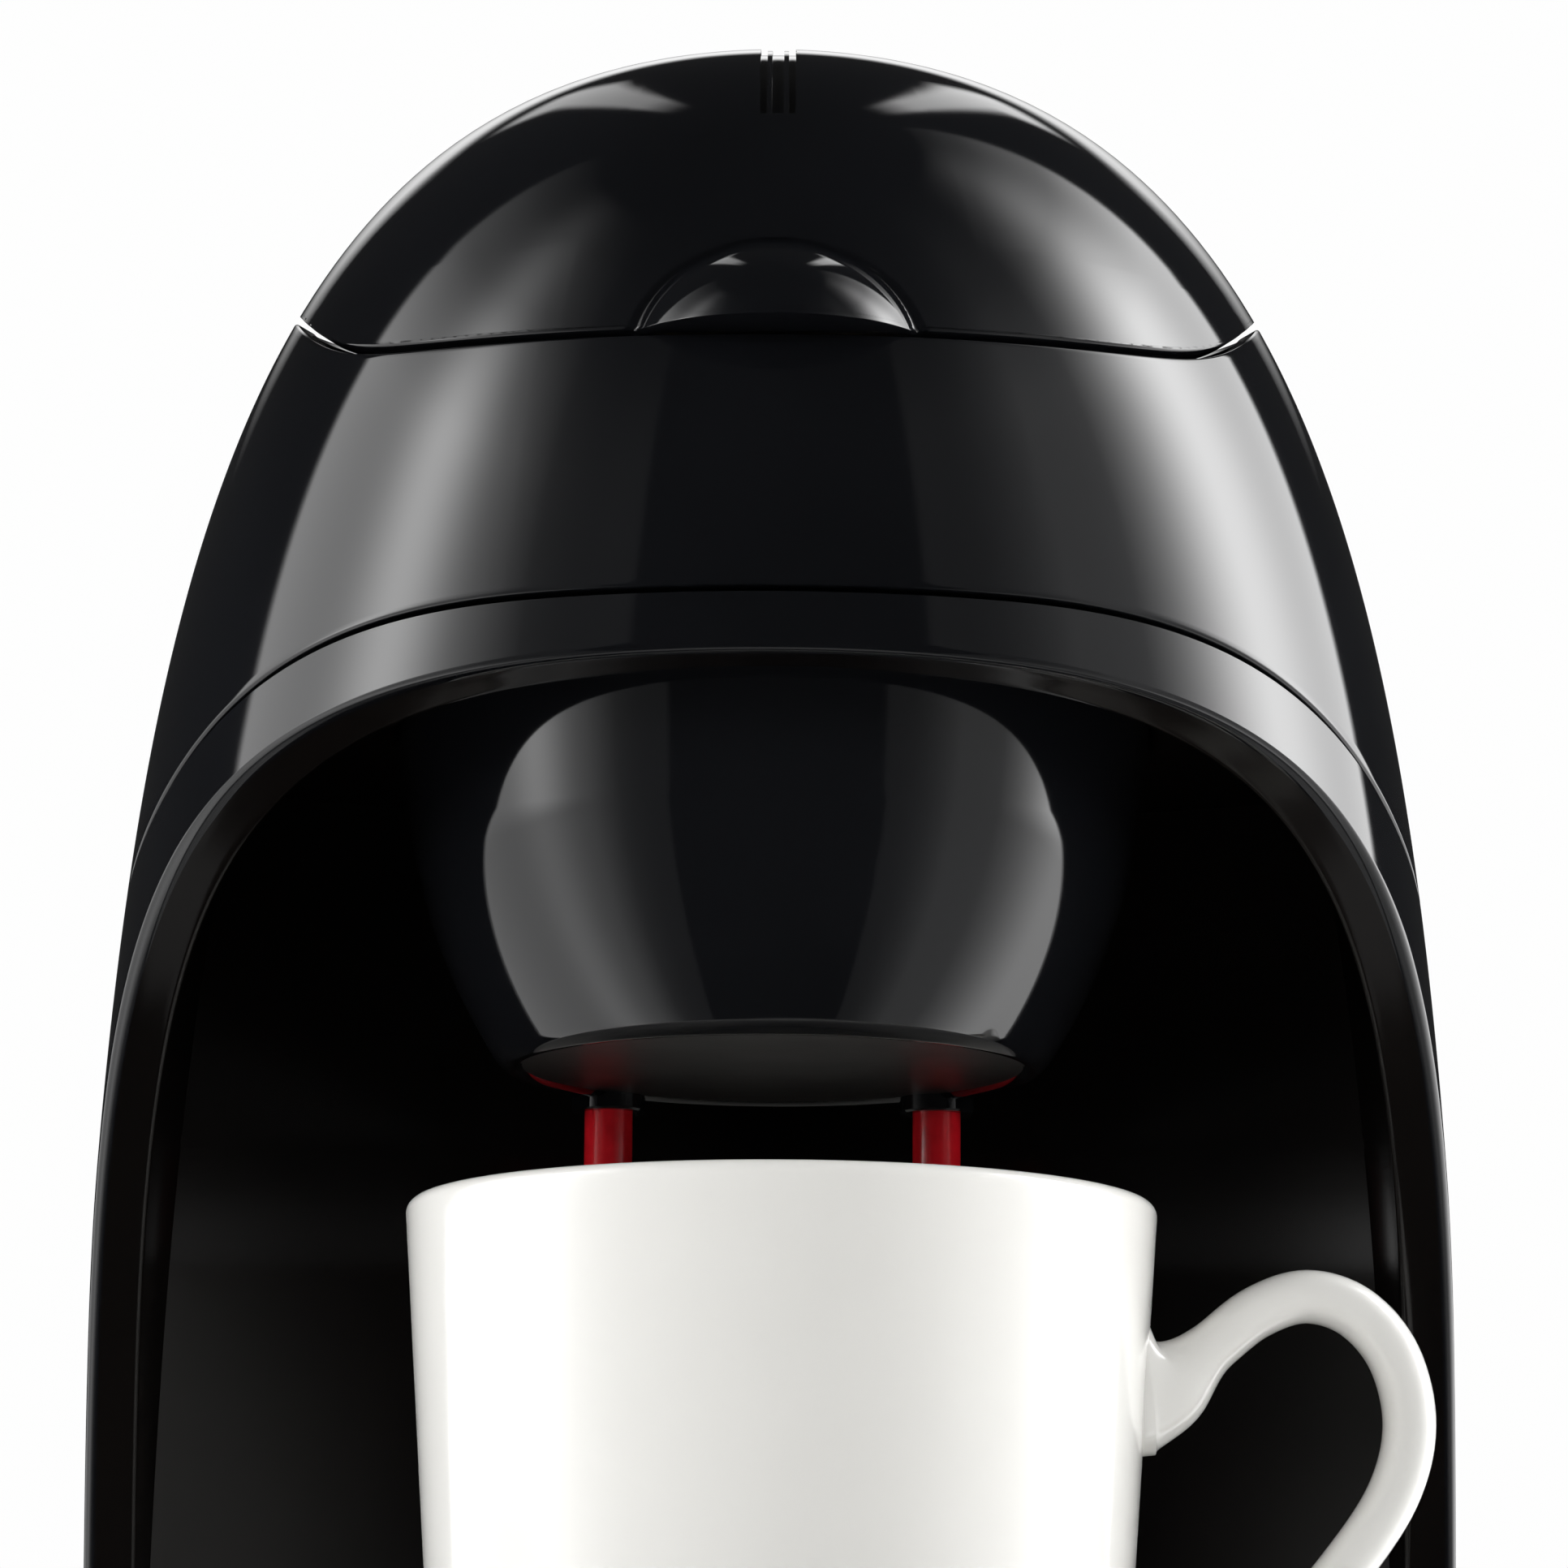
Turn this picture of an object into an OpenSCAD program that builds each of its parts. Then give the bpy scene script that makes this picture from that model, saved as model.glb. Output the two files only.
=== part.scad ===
// Single-cup drip coffee maker: a round, domed housing with an arched bay for one mug.
// Millimetres. +Z up, front faces -Y, origin at the centre of the footprint on the table.

/* [Body] */
// Widest diameter of the round body
body_w = 143; // [141:0.5:146]
// Height from the table to the crown of the lid
body_h = 222; // [220:0.5:226]
// Thickness of the moulded outer shells
wall = 2.5; // [2:0.1:3]
// Visible joint between neighbouring shells
joint_gap = 0.7; // [0.5:0.1:0.9]
// Height of the base's top face
base_h = 24; // [23:0.5:25]

/* [Bay] */
// Height of the arch's inner edge at the front
arch_h = 146.7; // [145:0.1:148]
// Height of the band that borders the arch
band_h = 6; // [5:0.1:7]
// Distance the arch sweeps back from the front
arch_sweep = 78; // [76:0.5:80]
// Distance from the body's axis back to the deepest point of the bay wall
bay_depth = 30; // [28:0.5:31]

/* [Basket and filter] */
// Distance from the body's axis forward to the brewing axis
brew_y = 14; // [13:0.5:15]
// Outer radius of the basket where it passes the bay ceiling
basket_r = 38.5; // [37:0.1:38.8]
// Height of the basket's flat bottom
basket_bottom = 113.5; // [112.5:0.1:114.5]
// Radius of the basket's flat bottom
basket_foot_r = 26.8; // [26:0.1:27.6]
// Distance between the two drip spouts
spout_pitch = 34.5; // [33:0.1:36]

/* [Mug] */
// Outer radius of the mug at its rim
mug_r = 38; // [36:0.5:39]
// Outer radius of the mug at its foot
mug_foot_r = 33; // [30:0.5:34]
// Height of the mug
mug_h = 75.2; // [70:0.1:76]

/* [Hidden] */
$fn = 96;

black = [0.03, 0.03, 0.035];
soft_black = [0.07, 0.07, 0.075];
body_r = body_w / 2;
crown_tail = 120;      // depth below the table of the outline's own centre
crown_rise = 6.3;      // exponent of the outline's height
crown_bulge = 2.55;    // exponent of the outline's radius
outline_steps = 26;
half_gap = joint_gap / 2;
fit = 0.3;             // clearance between neighbouring parts that don't touch

// ---- outline of the body: a superellipse turned about Z ----

function level(z) = (z + crown_tail) / (body_h + crown_tail);
function outline_r(z) = body_r * pow(1 - pow(level(z), crown_rise), 1 / crown_bulge);
function outline_angle(z) = asin(pow(level(z), crown_rise / 2));
// Point of the outline at parameter angle t, moved inwards by d along the surface normal
function outline_point(t, d) =
    let (c = pow(max(cos(t), 0), 2 / crown_bulge), u = pow(sin(t), 2 / crown_rise),
         gr = crown_bulge / body_r * pow(c, crown_bulge - 1),
         gz = crown_rise / (body_h + crown_tail) * pow(u, crown_rise - 1),
         n = norm([gr, gz]))
    [max(body_r * c - d * gr / n, 0), (body_h + crown_tail) * u - crown_tail - d * gz / n];

// Solid of the body's outer form, set in by d, from height z0 upwards
module form(d = 0, z0 = 0) {
    t0 = outline_angle(z0);
    side = [for (i = [1 : outline_steps - 1]) outline_point(t0 + (90 - t0) * i / outline_steps, d)];
    start = outline_point(t0, d);
    rotate_extrude()
        polygon(concat([[0, z0], [start[0], z0]], side, [[0, body_h - d]]));
}

// Extrudes an outline drawn in the (Y, Z) plane across the whole width
module across(points, width = 200) {
    rotate([90, 0, 90])
        linear_extrude(width, center = true)
            polygon(points);
}

// ---- lid seam: nearly level at the front, steep past the cheeks, easing off to the hinge ----

seam_front = 179;
seam_bends = [[-66, 4, 0.103], [-37.5, 6.8, 0.438], [-15, 12, -0.4216]];    // place, softness, added slope
seam_y = [-90, -66, -58, -50, -45, -41, -38, -35, -31, -26, -20, -15, -10, -4, 4, 14, 28, 50, 90];
function soft_bend(y, b) = b[2] * (y - b[0] + sqrt(pow(y - b[0], 2) + pow(b[1], 2))) / 2;
function seam_z(y) = seam_front + soft_bend(y, seam_bends[0]) + soft_bend(y, seam_bends[1])
    + soft_bend(y, seam_bends[2]);
module above_seam(lift) {
    across(concat([for (y = seam_y) [y, seam_z(y) + lift]], [[90, 270], [-90, 270]]));
}
// Slab that follows the seam, between two heights over it
module seam_slab(low, high) {
    across(concat([for (y = seam_y) [y, seam_z(y) + low]],
                  [for (i = [len(seam_y) - 1 : -1 : 0]) [seam_y[i], seam_z(seam_y[i]) + high]]));
}

// ---- arch of the bay: a quarter superellipse seen from the side ----

arch_y = -body_r + 0.5;
arch_foot = 25;
arch_power = 2.15;
arch_steps = 16;
module arch_space(sweep, top) {
    across(concat([[-120, -10], [-120, top]],
        [for (i = [0 : arch_steps])
            let (a = 90 * i / arch_steps)
            [arch_y + sweep * pow(sin(a), 2 / arch_power),
             arch_foot + (top - arch_foot) * pow(cos(a), 2 / arch_power)]],
        [[arch_y + sweep, -10]]));
}

// ---- lower edge of the hood: over the arch at the front, level round the back ----

hem_drop = 23.6;
hem_y0 = -60.5;
hem_y1 = 6.3;
hem_y = concat([-90], [for (i = [0 : 12]) hem_y0 + (hem_y1 - hem_y0) * i / 12], [90]);
function hem_z(y) =
    let (t = min(max((y - hem_y0) / (hem_y1 - hem_y0), 0), 1))
    arch_h + band_h - hem_drop * (1 - cos(180 * t)) / 2;
// Slab that follows the hem, between two heights over it
module hem_slab(low, high) {
    across(concat([for (y = hem_y) [y, hem_z(y) + low]],
                  [for (i = [len(hem_y) - 1 : -1 : 0]) [hem_y[i], hem_z(hem_y[i]) + high]]));
}

liner_t = 5.5;                       // depth of the band from the outer face to the bay
bay_ceiling = arch_h + 0.7;
ceiling_t = 3;
bay_edge_y = arch_y + arch_sweep;    // where the bay wall meets the sides
bay_half = body_r - 1.5;
bay_sag = bay_depth - bay_edge_y;
bay_r = (pow(bay_half, 2) + pow(bay_sag, 2)) / (2 * bay_sag);
module bay_cylinder(extra, z0, z1) {
    translate([0, bay_depth - bay_r, z0])
        cylinder(r = bay_r + extra, h = z1 - z0);
}
module slab(z0, z1, half = 100) {
    translate([-half, -half, z0])
        cube([2 * half, 2 * half, z1 - z0]);
}

// ---- hinge at the back of the lid ----

hinge_y = 47.5;
hinge_z = 203.6;
knuckle_r = 3.2;
lid_knuckle = 24;
hood_knuckle = 8;
hinge_pin_r = 1.5;
module hinge_bar(r, x0, x1) {
    translate([x0, hinge_y, hinge_z])
        rotate([0, 90, 0])
            cylinder(r = r, h = x1 - x0);
}
module hood_knuckles(r, grow = 0) {
    for (s = [-1, 1])
        hinge_bar(r, s > 0 ? lid_knuckle / 2 + fit - grow : -lid_knuckle / 2 - fit - hood_knuckle - grow,
                  s > 0 ? lid_knuckle / 2 + fit + hood_knuckle + grow : -lid_knuckle / 2 - fit + grow);
}

// ---- deck under the lid ----

deck_z = 168;
deck_t = 2.5;
basket_hole_r = basket_r + 0.4;
basket_flange_r = 39.8;
tank_gap = 1.2;                      // between the bay wall's back and the tank
tank_front = bay_depth + wall + tank_gap;
tank_floor = 32;
tank_half = 38;
outlet = [18, 48];                   // where the cold hose leaves the tank
riser_y = 42;
riser_r = 4;
deck_screw_x = 47.5;
deck_screw_y = 28;

module hood() {
    color(black) {
        difference() {
            union() {
                difference() {
                    form(0, 120);
                    form(wall, 110);
                    above_seam(-half_gap);
                    hem_slab(-60, half_gap);
                }
                hood_tongue();
                hood_knuckles(knuckle_r);
                hood_ears();
                deck_posts();
            }
            hinge_bar(knuckle_r + 0.6, -lid_knuckle / 2 - fit, lid_knuckle / 2 + fit);
            hinge_bar(hinge_pin_r + 0.05, -40, 40);
        }
    }
}

// Webs that carry the hood's knuckles from its back wall
module hood_ears() {
    for (s = [-1, 1])
        translate([s * (lid_knuckle / 2 + fit + hood_knuckle / 2), 0, 0])
            across([[hinge_y - 4.5, 192], [hinge_y - 3.2, 199.6], [hinge_y - 2.4, hinge_z],
                    [hinge_y + 2.9, hinge_z], [hinge_y + 6, 192], [hinge_y + 7, 184], [hinge_y + 3, 184]],
                   hood_knuckle);
}

// Tongue that locates the hood inside the tower's rim
module hood_tongue() {
    difference() {
        union() {
            intersection() {
                form(wall + 0.12, 110);
                hem_slab(-4, 3);
            }
            intersection() {
                form(wall - 0.3, 110);
                hem_slab(half_gap + 0.3, 3);
            }
        }
        form(wall + 1.5, 100);
        bay_cylinder(wall + 0.4, 100, bay_ceiling + ceiling_t + 0.3);
    }
}

// Posts inside the hood that the deck is screwed to
module deck_posts() {
    for (s = [-1, 1])
        difference() {
            intersection() {
                translate([s * deck_screw_x, deck_screw_y, 150])
                    cylinder(r = 5, h = deck_z - 150);
                form(wall - 0.4, 140);
            }
            translate([s * deck_screw_x, deck_screw_y, 156])
                cylinder(r = 1.3, h = 20);
        }
}

// Lower housing: the band round the arch, the bay and the round back, in one moulding
module tower() {
    color(black)
        difference() {
            union() {
                difference() {
                    form(0, base_h + half_gap);
                    form(wall, base_h - 2);
                    hem_slab(-half_gap, 100);
                }
                intersection() {
                    form(wall + 0.15, base_h + half_gap);
                    bay_cylinder(wall, 0, bay_ceiling + ceiling_t);
                }
                difference() {
                    intersection() {
                        form(wall - 0.3, base_h + half_gap);
                        bay_cylinder(wall, 0, bay_ceiling + ceiling_t);
                    }
                    hem_slab(-half_gap, 100);
                }
            }
            intersection() {
                form(liner_t, base_h - 2);
                bay_cylinder(0, base_h - 3, bay_ceiling);
            }
            arch_space(arch_sweep, arch_h);
            translate([0, -brew_y, bay_ceiling - 1])
                cylinder(r = basket_hole_r, h = 20);
        }
}

module top_deck() {
    color(soft_black)
        difference() {
            intersection() {
                form(wall + 0.15, deck_z - 10);
                slab(deck_z, deck_z + deck_t);
            }
            translate([0, -brew_y, deck_z - 1])
                cylinder(r = basket_hole_r, h = 10);
            tank_mouth(deck_z - 1, deck_z + 10);
            deck_screw_holes(1.7, deck_z - 1, 10);
        }
}

module deck_screw_holes(r, z, h) {
    for (s = [-1, 1])
        translate([s * deck_screw_x, deck_screw_y, z])
            cylinder(r = r, h = h);
}

// Filling opening over the tank, in the deck
module tank_mouth(z0, z1) {
    half = tank_half - 4;
    intersection() {
        translate([0, 0, z0])
            cylinder(r = outline_r(deck_z) - wall - 5.5, h = z1 - z0);
        translate([-half, tank_front + 2.2, z0 - 1])
            cube([2 * half, 60, z1 - z0 + 2]);
    }
}

module deck_screws() {
    color("silver")
        for (s = [-1, 1])
            translate([s * deck_screw_x, deck_screw_y, 0])
                screw(deck_z + deck_t, 1.25, 9, 2.9);
}

// Pan-head screw with its head's seat at height z, pointing down
module screw(z, r, length, head_r) {
    difference() {
        union() {
            translate([0, 0, z - length])
                cylinder(r = r, h = length);
            translate([0, 0, z])
                cylinder(r1 = head_r, r2 = head_r * 0.75, h = 1.6);
        }
        for (a = [0, 90])
            rotate([0, 0, a])
                translate([-head_r * 0.6, -0.35, z + 0.9])
                    cube([head_r * 1.2, 0.7, 2]);
    }
}

module water_tank() {
    tank_skin = wall + 2.2;
    color([0.16, 0.16, 0.17])
        difference() {
            tank_block(tank_skin, tank_front, tank_floor, deck_z - 0.2, 0);
            tank_block(tank_skin + 2, tank_front + 2, tank_floor + 2.5, deck_z + 4, 2);
            translate([0, riser_y, tank_floor - 2])
                cylinder(r = riser_r + 1.6, h = 8);
            translate([outlet[0], outlet[1], tank_floor - 2])
                cylinder(r = 2.6, h = 8);
        }
    color([0.16, 0.16, 0.17])
        translate([outlet[0], outlet[1], base_h - 4])
            difference() {
                cylinder(r = 4.2, h = tank_floor - base_h + 5);
                translate([0, 0, -1])
                    cylinder(r = 2.6, h = 20);
            }
}

// Block behind the bay wall, set in by d from the outer form; inset trims its front corners
module tank_block(d, front, z0, z1, inset) {
    difference() {
        intersection() {
            form(d, z0);
            slab(z0, z1);
            translate([inset - tank_half, 0, z0])
                cube([2 * (tank_half - inset), 100, z1 - z0]);
        }
        translate([0, front - bay_r, z0 - 1])
            cylinder(r = bay_r, h = z1 - z0 + 2);
    }
}

module tank_grommet() {
    color([0.75, 0.75, 0.72])
        translate([0, riser_y, tank_floor - 1])
            difference() {
                union() {
                    cylinder(r = riser_r + 1.55, h = 4.5);
                    cylinder(r = riser_r + 2.1, h = 0.95);
                    translate([0, 0, 3.55])
                        cylinder(r = riser_r + 2.1, h = 1);
                }
                translate([0, 0, -1])
                    cylinder(r = riser_r + 0.02, h = 10);
            }
}

riser_top = 185;
module riser_tube() {
    color([0.8, 0.8, 0.78])
        translate([0, riser_y, base_h - 6])
            difference() {
                cylinder(r = riser_r, h = riser_top - base_h + 6);
                translate([0, 0, -1])
                    cylinder(r = 2.6, h = 200);
            }
}

// Elbow that turns the hot water forwards, over the filter
module water_spout() {
    arm_z = riser_top + 2.5;
    arm_r = 3.2;
    arm_end = basket_flange_r - brew_y + 0.7;
    color(soft_black)
        difference() {
            union() {
                translate([0, riser_y, riser_top - 10])
                    cylinder(r = riser_r + 1.2, h = 16);
                translate([0, riser_y, arm_z])
                    rotate([90, 0, 0])
                        cylinder(r = arm_r, h = riser_y - arm_end);
            }
            translate([0, riser_y, riser_top - 11])
                cylinder(r = riser_r + 0.02, h = 11);
            translate([0, riser_y, riser_top - 1])
                cylinder(r = 2, h = 3.5);
            translate([0, riser_y + 1, arm_z])
                rotate([90, 0, 0])
                    cylinder(r = 2, h = 20);
        }
}

module hinge_pin() {
    color("silver")
        hinge_bar(hinge_pin_r, -lid_knuckle / 2 - fit - hood_knuckle, lid_knuckle / 2 + fit + hood_knuckle);
}

// ---- base ----

foot_h = 3;
plate_t = 2;
base_wall = 2.5;
pad_y = 67.5;
pad_half = 13;
pad_z0 = 5.4;
pad_z1 = 21.6;
switch_z = 13.5;
gland_z = 13.5;
gland_r = 5;
cord_r = 3.4;
base_boss_r = 52;
base_boss_angles = [25, 155, 215, 325];

module base_shell() {
    base_r = outline_r(base_h);
    color(black)
        difference() {
            union() {
                difference() {
                    translate([0, 0, foot_h])
                        cylinder(r = base_r, h = base_h - foot_h);
                    translate([0, 0, foot_h - 1])
                        cylinder(r = base_r - base_wall, h = base_h - foot_h - base_wall + 1);
                }
                for (s = [-1, 1])
                    base_pad(s);
                for (a = base_boss_angles)
                    rotate([0, 0, a])
                        translate([base_boss_r, 0, foot_h + plate_t])
                            cylinder(r = 4, h = base_h - foot_h - plate_t - 1);
            }
            for (s = [-1, 1])
                pad_cut(s);
            for (a = base_boss_angles)
                rotate([0, 0, a])
                    translate([base_boss_r, 0, foot_h])
                        cylinder(r = 1.3, h = 14);
            translate([-9.5, -pad_y - 1, switch_z - 6.6])
                cube([19, 12, 13.2]);
            translate([0, pad_y + 5, gland_z])
                rotate([90, 0, 0])
                    cylinder(r = gland_r, h = 20);
            translate([0, -brew_y, base_h - 1])
                cylinder(r = 36, h = 5);
            translate([0, riser_y, base_h - 5])
                cylinder(r = riser_r + 0.6, h = 10);
            translate([outlet[0], outlet[1], base_h - 5])
                cylinder(r = 5, h = 10);
        }
}

// Thickened wall behind the switch (s = -1) or the cord gland (s = 1)
module base_pad(s) {
    intersection() {
        translate([0, 0, foot_h])
            cylinder(r = outline_r(base_h) - 1, h = base_h - foot_h - 1);
        translate([-pad_half - 2, s > 0 ? pad_y - 4 : -pad_y, foot_h + plate_t + 0.2])
            cube([2 * pad_half + 4, 4, base_h - foot_h - plate_t - 1]);
    }
}

// Flat pocket in the outer face
module pad_cut(s) {
    translate([-pad_half, s > 0 ? pad_y : -pad_y - 10, pad_z0])
        cube([2 * pad_half, 10, pad_z1 - pad_z0]);
}

module base_plate() {
    color(soft_black)
        difference() {
            translate([0, 0, foot_h])
                cylinder(r = outline_r(base_h) - base_wall - fit, h = plate_t);
            for (a = base_boss_angles)
                rotate([0, 0, a])
                    translate([base_boss_r, 0, foot_h - 1])
                        cylinder(r = 1.7, h = 5);
            for (i = [-3 : 3])
                translate([i * 6 - 1.1, -10, foot_h - 1])
                    cube([2.2, 20, 5]);
        }
}

module base_screws() {
    color("silver")
        for (a = base_boss_angles)
            rotate([0, 0, a])
                translate([base_boss_r, 0, 0])
                    mirror([0, 0, 1])
                        screw(-foot_h, 1.25, 12, 2.9);
}

module rubber_feet() {
    color([0.1, 0.1, 0.1])
        for (a = [45 : 90 : 315])
            rotate([0, 0, a])
                translate([base_boss_r + 5, 0, 0])
                    cylinder(r1 = 7, r2 = 8, h = foot_h);
}

module cup_plate() {
    color([0.12, 0.12, 0.125])
        translate([0, -brew_y, base_h - 1])
            difference() {
                cylinder(r = 35.8, h = 1.7);
                for (r = [10, 18, 26])
                    difference() {
                        translate([0, 0, 1.2])
                            cylinder(r = r + 0.8, h = 2);
                        translate([0, 0, 1.1])
                            cylinder(r = r - 0.8, h = 3);
                    }
            }
}

// ---- heater and plumbing in the base ----

heater_z = 12.5;
heater_r = 25;
heater_pipe_r = 4;
heater_open = 70;                    // angle left open at the back
module horseshoe(r, pipe_r, open, z) {
    translate([0, -4, z])
        rotate([0, 0, 90 + open / 2])
            rotate_extrude(angle = 360 - open)
                translate([r, 0])
                    circle(r = pipe_r);
}

module heater_block() {
    color([0.72, 0.73, 0.75])
        difference() {
            horseshoe(heater_r, heater_pipe_r, heater_open, heater_z);
            horseshoe(heater_r, 2.6, heater_open - 4, heater_z);
        }
}

module heating_element() {
    color([0.45, 0.45, 0.47])
        horseshoe(heater_r - 8.2, 3.2, heater_open + 30, heater_z);
}

module heater_bracket() {
    color("silver")
        difference() {
            translate([-5, -4 - heater_r - 5, heater_z + 4.1])
                cube([10, 22, 1.2]);
            translate([0, -4 - heater_r + 12, heater_z])
                cylinder(r = 1.5, h = 10);
        }
}

module thermostat() {
    color([0.82, 0.8, 0.74])
        translate([28, -34, 5.2])
            difference() {
                union() {
                    cylinder(r = 6, h = 5.5);
                    translate([-9, -3, 0])
                        cube([18, 6, 1]);
                }
                for (s = [-1, 1])
                    translate([7.5 * s, 0, -1])
                        cylinder(r = 1, h = 4);
            }
}

module thermal_fuses() {
    color([0.9, 0.9, 0.86])
        for (s = [0, 1])
            translate([-46, -22 + s * 7, 8])
                rotate([0, 90, 0])
                    cylinder(r = 2.2, h = 14);
}

valve_x = 17;
valve_y = 36;
valve_half = 11;
module check_valve() {
    color([0.85, 0.85, 0.82])
        translate([valve_x, valve_y, heater_z])
            rotate([0, 90, 0])
                difference() {
                    union() {
                        cylinder(r = 4.6, h = 14, center = true);
                        cylinder(r = 3, h = 2 * valve_half, center = true);
                    }
                    cylinder(r = 2, h = 40, center = true);
                }
}

// Smooth tube swept along a list of points
function unit(v) = v / norm(v);
function path_dir(p, i) = unit(p[min(i + 1, len(p) - 1)] - p[max(i - 1, 0)]);
function bend_path(p, steps) = [
    for (i = [0 : len(p) - 2]) for (k = [0 : steps - 1])
        let (t = k / steps, a = p[max(i - 1, 0)], b = p[i], c = p[i + 1], d = p[min(i + 2, len(p) - 1)])
        0.5 * (2 * b + (c - a) * t + (2 * a - 5 * b + 4 * c - d) * t * t + (3 * b - a - 3 * c + d) * t * t * t),
    p[len(p) - 1]];
module swept_tube(path, r, sides = 10) {
    n = len(path);
    up = [0.13, 0.21, 0.97];
    rings = [for (i = [0 : n - 1])
        let (d = path_dir(path, i), s = unit(cross(d, up)), v = cross(s, d))
        for (k = [0 : sides - 1]) path[i] + r * (cos(360 * k / sides) * s + sin(360 * k / sides) * v)];
    skin = [for (i = [0 : n - 2]) for (k = [0 : sides - 1])
        [i * sides + k, i * sides + (k + 1) % sides, (i + 1) * sides + (k + 1) % sides, (i + 1) * sides + k]];
    polyhedron(points = rings,
        faces = concat(skin, [[for (k = [sides - 1 : -1 : 0]) k]],
                       [[for (k = [0 : sides - 1]) (n - 1) * sides + k]]),
        convexity = 4);
}

hose_r = 2.9;
tank_route = [[outlet[0], outlet[1], 21], [19, 47.5, 15.5], [23, 46.5, 12.7], [29, 44, heater_z],
    [32.5, 40, heater_z], [31.6, 36.6, heater_z], [valve_x + valve_half - 0.1, valve_y, heater_z]];
inlet_route = [[valve_x - valve_half + 0.1, valve_y, heater_z], [1.5, 34.2, heater_z], [-1.2, 30, heater_z],
    [0.6, 25, heater_z], [6, 22, heater_z], [14.6, 16.7, heater_z]];
hot_route = [[-15.1, 17.1, heater_z], [-19, 23, heater_z], [-13, 31, heater_z], [-5, 38, 13], [-0.6, 41.4, 14.5],
    [0, riser_y, 17.6]];

module cold_hose() {
    color([0.85, 0.85, 0.85])
        for (route = [tank_route, inlet_route])
            swept_tube(bend_path(route, 4), hose_r, 10);
}

module hot_hose() {
    color([0.85, 0.85, 0.85])
        swept_tube(bend_path(hot_route, 4), hose_r, 10);
}

module terminal_block() {
    color([0.9, 0.89, 0.85])
        translate([-34, 38, 6])
            difference() {
                cube([16, 9, 8]);
                for (i = [0 : 2])
                    translate([3 + i * 5, 4.5, 3])
                        cylinder(r = 1.4, h = 8);
            }
}

wire_r = 0.9;
wire_routes = [
    [[-3, 61, 12], [-8, 56, 10], [-20, 52, 9], [-28, 47.2, 9]],
    [[3, 61, 12], [10, 57, 9], [38, 46, 8], [58, 10, 8], [57, -24, 8], [34, -52, 9], [7, -53.2, 12]],
    [[-30, 37.8, 9], [-35, 24, 8], [-56, 0, 8], [-56, -26, 8], [-34, -52, 9], [-7, -53.2, 12]]];
module wiring() {
    color([0.7, 0.12, 0.1])
        for (route = wire_routes)
            swept_tube(bend_path(route, 5), wire_r, 8);
}

module cord_gland() {
    color(soft_black)
        translate([0, 0, gland_z])
            rotate([-90, 0, 0])
                difference() {
                    union() {
                        translate([0, 0, pad_y - 4 - 1.5])
                            cylinder(r = gland_r - 0.05, h = 5.5);
                        translate([0, 0, pad_y])
                            cylinder(r1 = gland_r + 2, r2 = gland_r + 0.6, h = 2.6);
                        translate([0, 0, pad_y - 4 - 2.5])
                            cylinder(r = gland_r + 1.4, h = 2.45);
                    }
                    translate([0, 0, pad_y - 10])
                        cylinder(r = cord_r, h = 20);
                }
}

// ---- power switch ----

rocker_pivot_y = -pad_y + 3.6;
rocker_r = 8.5;
rocker_h = 10;
rocker_rest = 7;                     // the rocker's tilt at rest, half of its travel
module switch_case() {
    color(soft_black)
        difference() {
            translate([-9.4, -pad_y + 0.1, switch_z - 6.5])
                cube([18.8, 14, 13]);
            translate([-8.9, -pad_y - 1, switch_z - 5.5])
                cube([17.8, 11, 11]);
            translate([0, rocker_pivot_y, switch_z - 7])
                cylinder(r = 1.25, h = 14);
        }
}

module switch_bezel() {
    color(black)
        difference() {
            hull()
                for (sx = [-1, 1], sz = [-1, 1])
                    translate([sx * 9, -pad_y, switch_z + sz * 6])
                        rotate([90, 0, 0])
                            cylinder(r = 1.5, h = 1.6, $fn = 32);
            translate([-8.9, -pad_y - 3, switch_z - 5.4])
                cube([17.8, 6, 10.8]);
        }
}

module power_rocker() {
    color([0.75, 0.04, 0.03])
        translate([0, rocker_pivot_y, switch_z])
            rotate([0, 0, -rocker_rest])
                union() {
                    difference() {
                        intersection() {
                            cylinder(r = rocker_r, h = rocker_h, center = true);
                            linear_extrude(rocker_h, center = true)
                                polygon([[-9, -6.7], [0, -5.3], [9, -6.7], [9, 1.6], [-9, 1.6]]);
                        }
                        linear_extrude(rocker_h - 2.4, center = true)
                            polygon([[-6.6, -4.4], [0, -3.6], [6.6, -4.4], [6.6, 3], [-6.6, 3]]);
                    }
                    cylinder(r = 1.2, h = rocker_h + 2, center = true);
                }
}

module pilot_lamp() {
    color([1, 0.35, 0.1])
        translate([-3, rocker_pivot_y + 3.4, switch_z])
            rotate([0, 90, 0])
                cylinder(r = 1.4, h = 6);
}

// ---- lid ----

lip_r = 17;
lip_out = 4.6;
lip_drop = 5;
module lid_shell() {
    color(black)
        difference() {
            union() {
                difference() {
                    union() {
                        form(0, 165);
                        lid_lip();
                    }
                    form(wall, 160);
                    slab(100, seam_front - 8);
                    vent_groove();
                    below_seam(half_gap);
                }
                intersection() {
                    lid_knuckle_block();
                    union() {
                        form(0.2, 165);
                        hinge_bar(knuckle_r, -lid_knuckle / 2, lid_knuckle / 2);
                    }
                }
                liner_posts();
            }
            hood_knuckles(knuckle_r + 0.6, fit + 0.3);
            hinge_bar(hinge_pin_r + 0.05, -40, 40);
            vent_holes();
        }
}

module below_seam(lift) {
    across(concat([for (y = seam_y) [y, seam_z(y) + lift]], [[90, 100], [-90, 100]]));
}

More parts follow.
